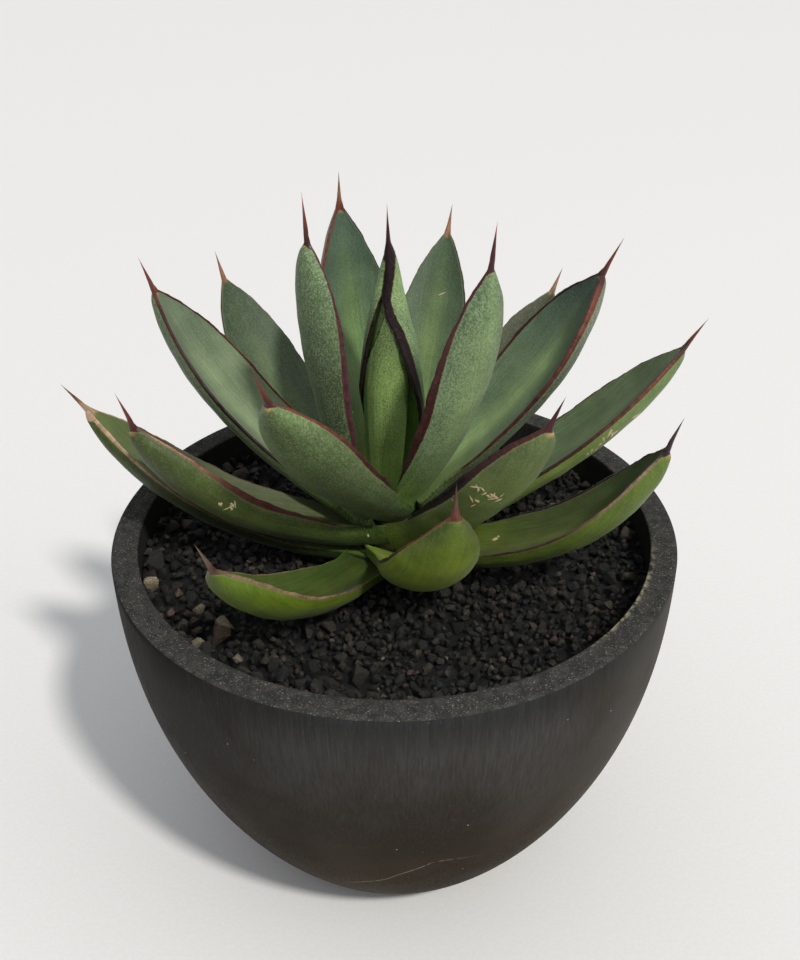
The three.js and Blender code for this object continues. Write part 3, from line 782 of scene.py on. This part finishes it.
def spine_rings(blade):
    """Rings of the spine from the blade's last ring to its tip, the tip, and each ring's share of it."""
    along = blade.along[-1]
    lift = math.radians(blade.leaf["spine_lift"])
    spine_length = blade.leaf["spine_length"]
    skyward = np.array((0, 0, 1)) - along * along[2]
    skyward /= np.linalg.norm(skyward)
    spine_along = along * math.cos(lift) + skyward * math.sin(lift)
    side = blade.side[-1] - spine_along * (blade.side[-1] @ spine_along)
    side /= np.linalg.norm(side)
    up = np.cross(side, spine_along)
    last = blade.rings[-1]
    root = last.mean(0)
    t = np.linspace(0, 1, SPINE_RINGS + 1)[1:-1, None]
    quarter = math.pi / 2 * (1 - blade.u)
    angle = np.where(blade.is_face, quarter, -quarter)
    at_margin = math.pi * (blade.u < 0) - np.sign(blade.u) * blade.bead_angle * 0.1
    angle = np.where(blade.is_bead, at_margin, angle)
    if blade.leaf["closing"]:
        angle = blade.fold[-1] * blade.u - math.pi / 2
    groove = SPINE_GROOVE * np.exp(-(((angle - math.pi / 2) / 0.6) ** 2))[None] * (1 - t) ** 1.5
    thick = SPINE_RADIUS * ((1 - t) ** SPINE_TAPER) * (1 - groove)
    if blade.leaf["closing"]:
        thick = thick * np.where(blade.is_face, 0.4, 1)
    rounding = step_up(0, 0.3, t)[..., None]
    circle = np.cos(angle)[None, :, None] * side + np.sin(angle)[None, :, None] * up
    tapered = (last - root)[None] * ((1 - t) ** 0.9)[..., None]
    rings = root + (t * spine_length)[..., None] * spine_along
    rings = rings + (1 - rounding) * tapered + rounding * thick[..., None] * circle
    return rings, root + spine_along * spine_length, t[:, 0]


def leaf_colours(blade, grid_s, grid_u):
    """Colours of the green skin and of the margins' horn for each point."""
    leaf = blade.leaf
    on_face = np.broadcast_to(blade.is_face, grid_s.shape)
    middle_out = np.exp(-((grid_u / 0.3) ** 2)) * step_up(1, 0.55, grid_s) * step_up(0, 0.15, grid_s)
    face = three_colours(leaf["face"], grid_s)
    face += (linear(leaf["centre"]) - face) * (0.75 * middle_out)[..., None]
    back = three_colours(leaf["back"], grid_s)
    belly = np.exp(-((grid_u / 0.55) ** 2))[..., None]
    back += (three_colours(leaf["belly"], grid_s) - back) * belly
    tissue = np.where(on_face[..., None], face, back)
    left = three_colours(leaf["left"][::-1], grid_s)
    right = three_colours(leaf["right"][::-1], grid_s)
    return tissue, left + (right - left) * step_up(-0.3, 0.3, grid_u)[..., None]


def horn_reach(blade, tip_distance):
    """How far each point lies from the horn of the margin and the spine: below 0 it is horn."""
    on_face = np.broadcast_to(blade.is_face, tip_distance.shape)
    spine_count = len(tip_distance) - BLADE_RINGS
    margin = np.vstack([blade.margin, np.repeat(blade.margin[-1:], spine_count, axis=0)])
    shown = np.maximum(margin - BEAD_SHOWN, np.minimum(0.1, margin - 0.4))
    band = np.where(on_face & (shown > 0), 0.5 * shown, shown)
    from_edge = np.where(blade.is_bead, 0, blade.from_edge)
    from_edge = np.vstack([from_edge, np.zeros((spine_count, len(blade.u)))])
    return np.minimum(tip_distance, from_edge - band)


def scar_flakes(blade, rng):
    """Low corky flakes: their points and faces, counted from 0."""
    points = []
    faces = []
    for side, s, u, spread, count in blade.leaf["scars"]:
        width = float(np.interp(s, blade.s, blade.half_way))
        row = int(np.interp(s, blade.s, np.arange(BLADE_RINGS)))
        lean = blade.fold[row] * u
        outward = blade.side[row] * math.sin(lean) - blade.up[row] * math.cos(lean)
        normal = outward * (-1 if side == "face" else 1)
        for _ in range(count):
            middle = rng.normal(0, spread, 2)
            long, short = rng.uniform(*SCAR_LENGTHS), rng.uniform(*SCAR_WIDTHS)
            turn = rng.uniform(-1.2, 1.2)
            start = len(points)
            for k in range(SCAR_SIDES):
                angle = 2 * math.pi * k / SCAR_SIDES
                ragged = rng.uniform(0.55, 1.3)
                x, y = long * math.cos(angle) * ragged, short * math.sin(angle) * ragged
                mm = middle[0] + x * math.cos(turn) - y * math.sin(turn)
                mm_across = middle[1] + x * math.sin(turn) + y * math.cos(turn)
                share = np.clip(u + mm_across / width, -0.96, 0.96)
                at = blade.point(side, np.clip(s + mm / blade.leaf["length"], 0, 1), share)
                points.append(at + normal * SCAR_LIFT)
            points.append(np.mean(points[start:], axis=0) + normal * SCAR_HEIGHT)
            hub = start + SCAR_SIDES
            faces += [(start + k, start + (k + 1) % SCAR_SIDES, hub) for k in range(SCAR_SIDES)]
    return points, faces


def leaf_piece(name, number, material):
    """One leaf with its margin, its spine and its scars."""
    rng = np.random.default_rng(100 + number)
    blade = Blade({**USUAL_LEAF, **LEAVES[name]}, rng)
    spine, tip, t = spine_rings(blade)
    rings = np.concatenate([blade.rings, spine])
    ring_count, count = rings.shape[:2]
    scars, scar_faces = scar_flakes(blade, rng)
    points = np.vstack([rings.reshape(-1, 3), blade.rings[0].mean(0), tip] + scars)
    first_scar = ring_count * count + 2
    faces = loft_faces(ring_count, count)
    faces += [tuple(corner + first_scar for corner in face) for face in scar_faces]
    piece = new_piece(name + "_fine", points, faces, material, name)
    turn_outwards(piece.data)
    mark_leaf(piece.data, blade, t, len(scars), number)


def mark_leaf(mesh, blade, t, scar_points, number):
    """Values that the leaf skin reads: colours, place, distance from the horn, and bloom."""
    leaf = blade.leaf
    shape = (len(blade.s) + len(t), len(blade.u))
    grid_s = np.broadcast_to(np.concatenate([blade.s, np.ones(len(t))])[:, None], shape)
    mm = np.concatenate([blade.mm_along, leaf["length"] + t * leaf["spine_length"]])
    grid_mm = np.broadcast_to(mm[:, None], shape)
    grid_u = np.vstack([blade.shared_u, np.repeat(blade.shared_u[-1:], len(t), axis=0)])
    grid_across = np.vstack([blade.across, np.repeat(blade.across[-1:], len(t), axis=0)])
    on_face = np.broadcast_to(blade.is_face, shape)
    arc = leaf["cap"] + leaf["cap_slope"] * np.abs(grid_u) ** 2.2
    tip_distance = leaf["length"] - grid_mm - arc
    tissue, horn = leaf_colours(blade, grid_s, grid_u)
    reach = horn_reach(blade, tip_distance)
    collar = leaf["collar"] * step_up(0.9, 0.1, np.abs(tip_distance - 0.2)) * (grid_s < 1)
    collar = collar * step_up(0.6, 0.1, np.abs(grid_u))
    tissue += (linear(COLLAR) - tissue) * 0.7 * collar[..., None]
    spine_share = np.broadcast_to(np.concatenate([np.zeros(BLADE_RINGS), t])[:, None], shape)
    spine_colour = three_colours(leaf["spine"], spine_share)
    horn += (spine_colour - horn) * step_up(0.94, 1, grid_s)[..., None]
    back_shift = np.where(on_face, 0, BACK_PATTERN_SHIFT)
    place = np.stack([grid_mm, grid_across + back_shift, 0 * grid_mm + number * LEAF_PATTERN_SHIFT], -1)
    bloom = leaf["bloom"] * np.where(on_face, 0.45, 1)

    def all_points(grid, root_value, tip_value, scar_value):
        rows = grid.reshape(-1, *grid.shape[2:])
        return np.concatenate([rows, [root_value], [tip_value]] + [[scar_value]] * scar_points)

    pale = linear(SCAR)
    give(mesh, "tissue", "FLOAT_COLOR", all_points(tissue, tissue[0, 0], tissue[-1, 0], pale))
    give(mesh, "horn", "FLOAT_COLOR", all_points(horn, horn[0, 0], horn[-1, 0], pale))
    give(mesh, "place", "FLOAT_VECTOR", all_points(place, place[0, 0], place[-1, 0], place[0, 0]))
    give(mesh, "reach", "FLOAT", all_points(reach, 3, -3, 3))
    give(mesh, "bloom", "FLOAT", all_points(bloom, 0, 0, 0))


def bud_piece(material):
    """The youngest leaf, rolled into a cone, with its free edge running down the front left."""
    rng = np.random.default_rng(99)
    s = np.linspace(0, 1, BUD_RINGS)[:-1]
    length = float(np.linalg.norm(BUD_TOP - BUD_BOTTOM))
    around = np.linspace(0, 2 * math.pi, BUD_POINTS, endpoint=False)
    share = smooth_share(BUD_STATIONS, BUD_SHARES, s)[:, None]
    edge_at = np.radians(BUD_EDGE_LOW + (BUD_EDGE_HIGH - BUD_EDGE_LOW) * step_up(0.58, 1, s))[:, None]
    past_edge = (around[None] - edge_at) % (2 * math.pi)
    step = BUD_EDGE_STEP * (1 - past_edge / (2 * math.pi)) - BUD_EDGE_SET_BACK
    lip = BUD_EDGE_LIP * np.exp(-((past_edge / 0.12) ** 2))
    flutes = BUD_FLUTES * ripple(rng, around[None] * 4 + 0.8 * s[:, None], 3, 1.3)
    radius = BUD_RADIUS * share * (1 + step + lip + flutes)
    middle = BUD_BOTTOM + (BUD_TOP - BUD_BOTTOM) * s[:, None]
    rings = middle[:, None] + np.stack([radius * np.cos(around), radius * np.sin(around), 0 * radius], -1)
    points = np.vstack([rings.reshape(-1, 3), rings[0].mean(0), BUD_TOP])
    faces = loft_faces(len(s), BUD_POINTS)
    piece = new_piece("heart_bud_fine", points, faces, material, "heart_bud")
    turn_outwards(piece.data)

    grid_s = np.broadcast_to(s[:, None], radius.shape)
    # The bud's bright base is painted light.
    tissue = three_colours(BUD_COLOURS_AND_PAINTED_LIGHT, grid_s)
    # The layer under the rolled edge is darkened: painted shade.
    under = step_up(math.pi * 1.2, math.pi * 1.9, past_edge)[..., None]
    tissue += (linear(BUD_UNDER_PAINTED_SHADE) - tissue) * under
    edge_line = np.exp(-((past_edge / 0.1) ** 2))[..., None] * 0.7
    tissue += (linear(BUD_EDGE) - tissue) * edge_line
    place = np.stack([grid_s * length, past_edge * BUD_RADIUS, 0 * grid_s + BUD_PATTERN_AT], -1)

    def with_ends(grid):
        rows = grid.reshape(-1, *grid.shape[2:])
        return np.concatenate([rows, rows[:1], rows[-1:]])

    give(piece.data, "tissue", "FLOAT_COLOR", with_ends(tissue))
    give(piece.data, "horn", "FLOAT_COLOR", with_ends(tissue))
    give(piece.data, "place", "FLOAT_VECTOR", with_ends(place))
    give(piece.data, "reach", "FLOAT", with_ends((1 - grid_s) * length - 2))
    give(piece.data, "bloom", "FLOAT", with_ends(np.ones_like(grid_s) * 0.9))


def side_radius(height):
    """Radius of the pot's side at a height."""
    depth = np.maximum(0, 1 - height / POT_HEIGHT)
    return FOOT_RADIUS + (RIM_RADIUS - FOOT_RADIUS) * (1 - depth**SIDE_CURVE) ** SIDE_ROUND


def inside_radius(height):
    """Radius of the pot's inside at a height."""
    return np.minimum(INNER_RADIUS, side_radius(height) - WALL_THICKNESS)


def pot_finish():
    """Charcoal plastic with fine upright streaks and a scuffed rim."""
    f = Finish("charcoal_plastic", IOR=1.46, Specular_IOR_Level=0.01)
    where = f.place()
    rim = f.attribute("rim")
    inside = f.attribute("inside")
    height = f.attribute("height")
    scuff = f.attribute("scuff")
    scratch = f.attribute("scratch")
    broad = f.noise(where, 0.022, 3)
    streaks = f.noise(f.stretch(where, 1, 1, 0.05), 1.5, 4, 0.65)
    hairs = f.noise(f.stretch(where, 1, 1, 0.09), 3.6, 3, 0.6)
    grit = f.noise(where, 2.2, 4, 0.7)
    coarse = f.noise(where, 0.35, 4, 0.65)

    # Browner low on the side and greyer higher up: a painted brown reflection below and a painted sheen
    # above.
    side = f.mix(f.span(height, 0.3, 0.85), (54, 44, 32), (62, 60, 58))
    side = f.mix(f.span(height, 0.86, 1, 0, 0.75), side, (40, 42, 43))
    side = f.mix(f.span(broad, 0.4, 0.65, 0, 0.5), side, (38, 31, 24))
    # Painted shade darkens the side at the left, and painted light brightens it at the right.
    side = f.mix(f.times(f.attribute("painted_shade_left"), 0.6), side, (26, 22, 16))
    side = f.mix(f.times(f.attribute("painted_light_right"), 0.4), side, (74, 70, 61))
    # The inside wall is painted lighter than the outside: painted light.
    side = f.mix(inside, side, (52, 51, 49))
    side = f.shade(side, f.span(streaks, 0.3, 0.7, 0.84, 1.16))
    side = f.mix(f.span(hairs, 0.58, 0.76, 0, 0.4), side, (86, 86, 86))
    specks = f.span(f.cells(where, 0.2), 0.05, 0.025)
    specks = f.times(specks, f.span(f.noise(where, 0.045, 2), 0.5, 0.6))
    side = f.mix(specks, side, (176, 174, 168))
    from_scratch = f.calculate("ABSOLUTE", scratch)
    broken = f.span(f.noise(where, 0.5, 3), 0.36, 0.5)
    scratched = f.times(f.times(f.span(from_scratch, 0.5, 0.1), broken), f.attribute("scratched"))
    side = f.mix(f.times(scratched, 0.7), side, (134, 126, 112))

    top = f.mix(f.span(coarse, 0.35, 0.65), (52, 52, 51), (68, 67, 64))
    top = f.shade(top, f.span(grit, 0.3, 0.7, 0.72, 1.25))
    top = f.mix(f.span(grit, 0.6, 0.7, 0, 0.8), top, (176, 170, 152))
    top_share = f.span(f.sum(rim, f.times(f.less(coarse, 0.5), 0.5)), 0.4, 0.6)
    colour = f.mix(top_share, side, top)
    colour = f.mix(f.times(scuff, f.span(coarse, 0.42, 0.58, 0, 0.8)), colour, (178, 168, 142))
    side_roughness = f.span(f.sum(streaks, f.times(f.less(broad, 0.5), 0.5)), 0.3, 0.75, 0.36, 0.56)
    roughness = f.sum(side_roughness, f.times(top_share, 0.24))
    relief = f.bump(streaks, 0.05)
    relief = f.bump(f.times(grit, f.sum(top_share, 0.12)), 0.16, relief)
    return f.done(Base_Color=colour, Roughness=roughness, Normal=relief)


def pot_profile():
    """Radii and heights round the pot's wall, from its foot up the outside and down the inside."""
    corner = np.radians(np.linspace(0, 70, 5))
    foot_radii = side_radius(FOOT_ROUND) - FOOT_ROUND * (1 - np.sin(corner))
    foot = np.stack([foot_radii, FOOT_ROUND * (1 - np.cos(corner))], -1)
    heights = np.concatenate([np.linspace(FOOT_ROUND, 12, 14)[:-1], np.linspace(12, SIDE_TOP, 44)])
    outside = np.stack([side_radius(heights), heights], -1)
    outer_edge = np.array((RIM_RADIUS, POT_HEIGHT)) - OUTER_EDGE
    rim = np.stack([np.linspace(*RIM_TOP, 8), np.full(8, POT_HEIGHT)], -1)
    inner_edge = np.array((INNER_RADIUS, POT_HEIGHT)) + np.array(INNER_EDGE) * (1, -1)
    depths = np.concatenate([np.linspace(INSIDE_TOP, 96, 8), INSIDE_HEIGHTS])
    inside = np.stack([inside_radius(depths), depths], -1)
    return np.vstack([foot, outside, outer_edge, rim, inner_edge, inside])


def pot_piece():
    """The bowl, with slight dents and nicks in its rim."""
    rng = np.random.default_rng(5)
    radii, heights = pot_profile().T[..., None]
    around = np.linspace(0, 2 * math.pi, POT_POINTS, endpoint=False)
    near_rim = step_up(POT_HEIGHT - 1.2, POT_HEIGHT - 0.1, heights)
    dents = ripple(rng, np.degrees(around), 6, 3.1)
    nicks = np.clip(ripple(rng, np.degrees(around), 4, 1.9) - 0.9, 0, 1)
    on_edge = np.exp(-(((radii - RIM_RADIUS + 0.5) / 0.5) ** 2)) * near_rim
    lowered = heights - near_rim * DENT_DEPTH * (1 + dents) - on_edge * NICK_DEPTH * nicks
    rings = np.stack([radii * np.cos(around), radii * np.sin(around), lowered], -1)

    points = np.vstack([rings.reshape(-1, 3), (0, 0, 0), (0, 0, FLOOR_THICKNESS)])
    faces = loft_faces(len(rings), POT_POINTS)
    piece = new_piece("pot_fine", points, faces, pot_finish(), "pot")
    turn_outwards(piece.data)
    drill_drains(piece)
    mark_pot(piece.data)


def drill_drains(pot):
    """Cuts the drain holes through the floor of the pot."""
    drills = bmesh.new()
    for i in range(DRAIN_HOLE_COUNT):
        angle = 2 * math.pi * (i + 0.5) / DRAIN_HOLE_COUNT
        centre = (DRAIN_HOLE_DISTANCE * math.cos(angle), DRAIN_HOLE_DISTANCE * math.sin(angle), 0)
        bmesh.ops.create_cone(
            drills, cap_ends=True, segments=40, radius1=DRAIN_HOLE_RADIUS * MM,
            radius2=DRAIN_HOLE_RADIUS * MM, depth=DRILL_LENGTH * MM,
            matrix=Matrix.Translation(Vector(centre) * MM),
        )
    mesh = bpy.data.meshes.new("drills")
    drills.to_mesh(mesh)
    drills.free()
    cutter = add_object("drills", mesh)
    cut = pot.modifiers.new("drains", "BOOLEAN")
    cut.object = cutter
    cut.operation = "DIFFERENCE"
    cut.solver = "EXACT"
    bpy.context.view_layer.update()
    drilled = bpy.data.meshes.new_from_object(pot.evaluated_get(bpy.context.evaluated_depsgraph_get()))
    pot.modifiers.clear()
    pot.data = drilled
    bpy.data.objects.remove(cutter)


def stretch_share(turned, stretch):
    """1 along a stretch of the pot's side, and falling softly to 0 at both of its ends."""
    start, full, last_full, end = stretch
    return step_up(start, full, turned) * step_up(end, last_full, turned)


def mark_pot(mesh):
    """Values that the plastic reads: height, rim, inside, painted shade at the left and painted light at
    the right, the scuff and the scratch.
    """
    at = np.empty(len(mesh.vertices) * 3)
    mesh.vertices.foreach_get("co", at)
    x, y, z = at.reshape(-1, 3).T / MM
    radius = np.hypot(x, y)
    turned = np.degrees(np.arctan2(x, -y))
    from_inside = radius - inside_radius(z)
    on_top = step_up(POT_HEIGHT - 1, POT_HEIGHT - 0.3, z)
    on_inner_edge = np.exp(-(((radius - INNER_RADIUS - 0.3) / 0.7) ** 2))
    on_inner_edge *= step_up(POT_HEIGHT - 2, POT_HEIGHT - 0.5, z)
    path = smooth_share(SCRATCH_TURNS, SCRATCH_HEIGHTS, turned)
    marks = {
        "rim": on_top * step_up(INNER_RADIUS - 0.4, INNER_RADIUS + 0.3, radius),
        "painted_shade_left": stretch_share(turned, LEFT_PAINTED_SHADE),
        "painted_light_right": stretch_share(turned, RIGHT_PAINTED_LIGHT),
        # inside marks the inside wall, where light is painted.
        "inside": step_up(1.5, 0.5, from_inside) * step_up(FLOOR_THICKNESS + 1, FLOOR_THICKNESS + 3, z),
        "height": z / POT_HEIGHT,
        "scuff": on_inner_edge * step_up(*SCUFF_SPREAD[::-1], np.abs(turned - SCUFF_AT)),
        "scratch": np.clip(z - path, -9, 9),
        "scratched": stretch_share(turned, SCRATCH_STRETCH) * (from_inside > 3),
    }
    for name, values in marks.items():
        give(mesh, name, "FLOAT", values)


def grit_finish():
    """Dull, pitted lava, in each grain's colour with its painted shade."""
    f = Finish("lava", IOR=1.55)
    where = f.place()
    tint_with_painted_shade = f.attribute("tint_with_painted_shade", "Color")
    pits = f.noise(where, 1.9, 4, 0.7)
    fine = f.noise(where, 5, 2, 0.6)
    colour = f.shade(tint_with_painted_shade, f.span(pits, 0.3, 0.7, 0.45, 1.6))
    colour = f.mix(f.span(fine, 0.68, 0.8, 0, 0.35), colour, (120, 112, 98))
    relief = f.bump(fine, 0.25, f.bump(pits, 0.6))
    return f.done(Base_Color=colour, Roughness=f.span(fine, 0.35, 0.6, 0.32, 0.8), Normal=relief)


def grain_shape(rng):
    """Corners and faces of one angular grain with a radius of about 1."""
    corners = rng.normal(size=(GRAIN_CORNERS, 3))
    corners /= np.linalg.norm(corners, axis=1)[:, None]
    corners *= rng.uniform(0.78, 1.12, (GRAIN_CORNERS, 1))
    hull = bmesh.new()
    for corner in corners:
        hull.verts.new(corner)
    found = bmesh.ops.convex_hull(hull, input=list(hull.verts))
    bmesh.ops.delete(hull, geom=[g for g in found["geom_interior"] if g.is_valid], context="VERTS")
    bmesh.ops.recalc_face_normals(hull, faces=list(hull.faces))
    hull.verts.index_update()
    points = np.array([v.co for v in hull.verts])
    faces = np.array([[v.index for v in face.verts] for face in hull.faces])
    hull.free()
    return points, faces


def turned_from(toward, x, y):
    """Degrees from a direction seen from above to a place, between -180 and 180."""
    return (np.degrees(np.arctan2(y, x)) - toward + 180) % 360 - 180


def bank(x, y):
    """How much higher the grit lies at a place: it is banked up against the wall, most at the left."""
    share = 0.35 + 0.65 * step_up(120, 40, np.abs(turned_from(BANK_TOWARD, x, y)))
    return BANK_HEIGHT * share * step_up(54, 73, np.hypot(x, y))


def lump_share(x, y):
    """How far the grit is of the large, pale kind, which lies by the wall at the left and the front."""
    return step_up(50, 66, np.hypot(x, y)) * np.exp(-((turned_from(LUMPS_TOWARD, x, y) / 50) ** 2))


def resting_height(grains, x, y, size):
    """The least height at which a grain lies on the grains near it."""
    height = 0
    for other_x, other_y, other_z, other_size in grains:
        touch = CLOSENESS * (size + other_size)
        apart = math.hypot(x - other_x, y - other_y)
        if apart < touch:
            height = max(height, other_z + CLOSENESS * math.sqrt(touch * touch - apart * apart))
    return height


def settle_grains(rng):
    """Places grains one by one, each in the hollow that it falls into. Returns x, y, z, radius."""
    cells = {}
    grains = []
    for tried in range(GRAIN_TRIES):
        is_lump = tried < LUMP_TRIES
        reach = INNER_RADIUS * math.sqrt(rng.random())
        turn = rng.random() * 2 * math.pi
        if is_lump and rng.random() > 0.1 + lump_share(reach * math.cos(turn), reach * math.sin(turn)):
            continue
        middle, spread, least, most = LUMP_SIZES if is_lump else GRAIN_SIZES
        size = float(np.clip(rng.lognormal(middle, spread), least, most))
        reach = min(reach, INNER_RADIUS - size * 0.9)
        x, y = reach * math.cos(turn), reach * math.sin(turn)
        raised = float(bank(x, y))
        column, row = int(x // CELL), int(y // CELL)
        near = [g for i in (-1, 0, 1) for j in (-1, 0, 1) for g in cells.get((column + i, row + j), ())]
        lowest = BED_LEVEL + raised + (LUMP_DEPTH if is_lump else GRAIN_DEPTH) * size
        z = max(lowest, resting_height(near, x, y, size))
        if z + 0.5 * size > GRAIN_TOP + raised + 1.1 * rng.random() + is_lump:
            continue
        cells.setdefault((column, row), []).append((x, y, z, size))
        grains.append((x, y, z, size))
    return grains


def grain_tint(rng, x, y, z, size):
    """A grain's colour: mostly black lava, more pebbles near the rim at the left and front, and painted
    shade on deeper grains.
    """
    depth = step_up(BED_LEVEL - 0.5, GRAIN_TOP - 0.6, z - bank(x, y))
    pebble_share = 0.015 + (0.5 if size > PEBBLE_SIZE else 0.1) * lump_share(x, y)
    draw = rng.random()
    if draw < pebble_share:
        tints = PEBBLE_TINTS
    elif draw < pebble_share + RUST_SHARE:
        tints = RUST_TINTS
    else:
        tints = LAVA_TINTS
    # Grains that lie deeper are painted darker: painted shade in the gaps.
    return linear(tints[rng.integers(len(tints))]) * rng.uniform(0.6, 1.5) * (0.3 + 0.7 * depth)


def soil_piece():
    """The soil bed with its loose lava grit on top."""
    rng = np.random.default_rng(11)
    shapes = [grain_shape(rng) for _ in range(GRAIN_SHAPES)]
    points = []
    faces = []
    tints = []
    start = 0
    for x, y, z, size in settle_grains(rng):
        corners, sides = shapes[rng.integers(GRAIN_SHAPES)]
        turn = np.array(Quaternion(rng.normal(size=4)).normalized().to_matrix())
        stretch = size * np.array((1.05, rng.uniform(0.75, 1), rng.uniform(0.6, 0.9)))
        points.append((corners * stretch) @ turn.T + (x, y, z))
        faces.append(sides + start)
        start += len(corners)
        # Each grain is painted darker towards its underside: painted shade.
        painted_grain_shade = 0.12 + step_up(-0.7, 0.6, (points[-1][:, 2] - z) / size)
        tints.append(grain_tint(rng, x, y, z, size) * painted_grain_shade[:, None])

    bed_points, bed_faces = soil_bed(rng)
    points.append(bed_points)
    # The bed's near black is painted shade in the gaps between the grains.
    tints.append(np.broadcast_to(linear(BED_PAINTED_SHADE), (len(bed_points), 3)))
    all_faces = np.vstack(faces).tolist() + [[c + start for c in face] for face in bed_faces]
    piece = new_piece(
        "soil_grit", np.vstack(points), all_faces, grit_finish(), "soil", smooth=False
    )
    give(piece.data, "tint_with_painted_shade", "FLOAT_COLOR", np.vstack(tints))
    return piece


def soil_bed(rng):
    """Points and faces of the closed bed under the loose grains."""
    around = np.linspace(0, 2 * math.pi, BED_POINTS, endpoint=False)
    wall = [(inside_radius(height) - GAP, height) for height in BED_WALL_HEIGHTS]
    rings = wall + [(radius, BED_LEVEL) for radius in np.linspace(BED_RADIUS, 2, 34)]
    points = []
    for radius, height in rings:
        x, y = radius * np.cos(around), radius * np.sin(around)
        heights = np.full(BED_POINTS, float(height))
        if height == BED_LEVEL:
            heights += bank(x, y) + BED_ROUGHNESS * rng.uniform(-1, 1, BED_POINTS)
        points.append(np.stack([x, y, heights], -1))
    points = np.vstack(points + [[(0, 0, FLOOR_THICKNESS + GAP)], [(0, 0, BED_LEVEL)]])
    return points, loft_faces(len(rings), BED_POINTS)


def stem_finish():
    """Greenish brown skin with rings where leaves have been."""
    f = Finish("stem_skin", IOR=1.4)
    where = f.place()
    rings = f.noise(f.stretch(where, 0.2, 0.2, 1.4), 1, 4, 0.6)
    colour = f.mix(f.span(rings, 0.35, 0.65), (92, 104, 52), (126, 116, 74))
    return f.done(Base_Color=colour, Roughness=f.span(rings, 0.3, 0.7, 0.6, 0.8), Normal=f.bump(rings, 0.3))


def set_material(node, material):
    """Gives a CAD node that stays in view its finish."""
    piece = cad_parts[node]
    piece.data.materials.clear()
    piece.data.materials.append(material)


def make_camera():
    """The camera that took the photograph, worked out from the rim."""
    tilt, yaw, roll = (math.radians(a) for a in (CAMERA_TILT, CAMERA_YAW, CAMERA_ROLL))
    forward = Vector((math.sin(yaw) * math.cos(tilt), math.cos(yaw) * math.cos(tilt), -math.sin(tilt)))
    level = Vector((math.cos(yaw), -math.sin(yaw), 0))
    upright = level.cross(forward)
    right = level * math.cos(roll) + upright * math.sin(roll)
    up = upright * math.cos(roll) - level * math.sin(roll)
    data = bpy.data.cameras.new("camera")
    data.sensor_width = SENSOR
    data.sensor_fit = "AUTO"
    data.lens = SENSOR * FOCAL_PIXELS / FRAME_HEIGHT
    data.clip_start = 0.01
    data.clip_end = 20
    camera = add_object("camera", data)
    turn = Matrix((right, up, -forward)).transposed().to_4x4()
    camera.matrix_world = Matrix.Translation(Vector(CAMERA_AT) * MM) @ turn
    bpy.context.scene.camera = camera


def floor_finish():
    f = Finish("pale_floor", IOR=1.4)
    where = f.place()
    grain = f.noise(where, 0.8, 3)
    colour = f.mix(f.span(grain, 0.3, 0.7), (225, 224, 221), (229, 228, 226))
    return f.done(Base_Color=colour, Roughness=f.span(grain, 0.3, 0.7, 0.8, 0.9))


def make_floor():
    mesh = bpy.data.meshes.new("floor")
    corners = [(FLOOR_REACH * x, FLOOR_REACH * y, 0) for x, y in ((-1, -1), (1, -1), (1, 1), (-1, 1))]
    mesh.from_pydata(corners, [], [(0, 1, 2, 3)])
    mesh.materials.append(floor_finish())
    floor = add_object("floor", mesh)


def make_light(name, source, size, power, colour):
    """An area light that shines at the plant from the given direction."""
    direction = Vector(source).normalized()
    data = bpy.data.lights.new(name, "AREA")
    data.shape = "DISK"
    data.size = size
    data.energy = power
    data.color = colour
    light = add_object(name, data)
    light.location = Vector(LIGHTS_AIM) * MM + direction * LIGHT_DISTANCE
    light.rotation_euler = direction.to_track_quat("Z", "Y").to_euler()


def make_sun():
    """The even light from the right and the front, with soft shadows."""
    data = bpy.data.lights.new("sun", "SUN")
    data.energy = SUN_STRENGTH
    data.angle = math.radians(SUN_SOFTNESS)
    data.color = (1, 0.98, 0.94)
    sun = add_object("sun", data)
    sun.rotation_euler = Vector(SUN_FROM).to_track_quat("Z", "Y").to_euler()


def make_sky():
    """Soft light from all round, strongest from overhead."""
    world = bpy.data.worlds.new("studio")
    world.use_nodes = True
    tree = world.node_tree
    sky = tree.nodes["Background"]
    sky.inputs["Color"].default_value = (0.93, 0.95, 1, 1)
    direction = tree.nodes.new("ShaderNodeTexCoord")
    split = tree.nodes.new("ShaderNodeSeparateXYZ")
    strength = tree.nodes.new("ShaderNodeMapRange")
    strength.inputs["From Min"].default_value = 0
    strength.inputs["To Min"].default_value = SKY_AT_HORIZON
    strength.inputs["To Max"].default_value = SKY_OVERHEAD
    tree.links.new(direction.outputs["Generated"], split.inputs[0])
    tree.links.new(split.outputs["Z"], strength.inputs["Value"])
    tree.links.new(strength.outputs["Result"], sky.inputs["Strength"])
    bpy.context.scene.world = world


def make_lights():
    make_sun()
    make_sky()
    make_light("side", (0.95, -0.4, 0.45), 0.8, SIDE_LIGHT, (1, 0.97, 0.92))
    make_light("front", (-0.05, -1, 0.9), 0.6, FRONT_LIGHT, (0.9, 0.95, 1))
    bpy.context.scene.view_settings.view_transform = "Standard"


leaf_skin = leaf_finish()
for number, name in enumerate(LEAVES):
    leaf_piece(name, number, leaf_skin)
bud_piece(leaf_skin)
pot_piece()
soil_piece()
set_material("stem", stem_finish())
make_camera()
make_floor()
make_lights()
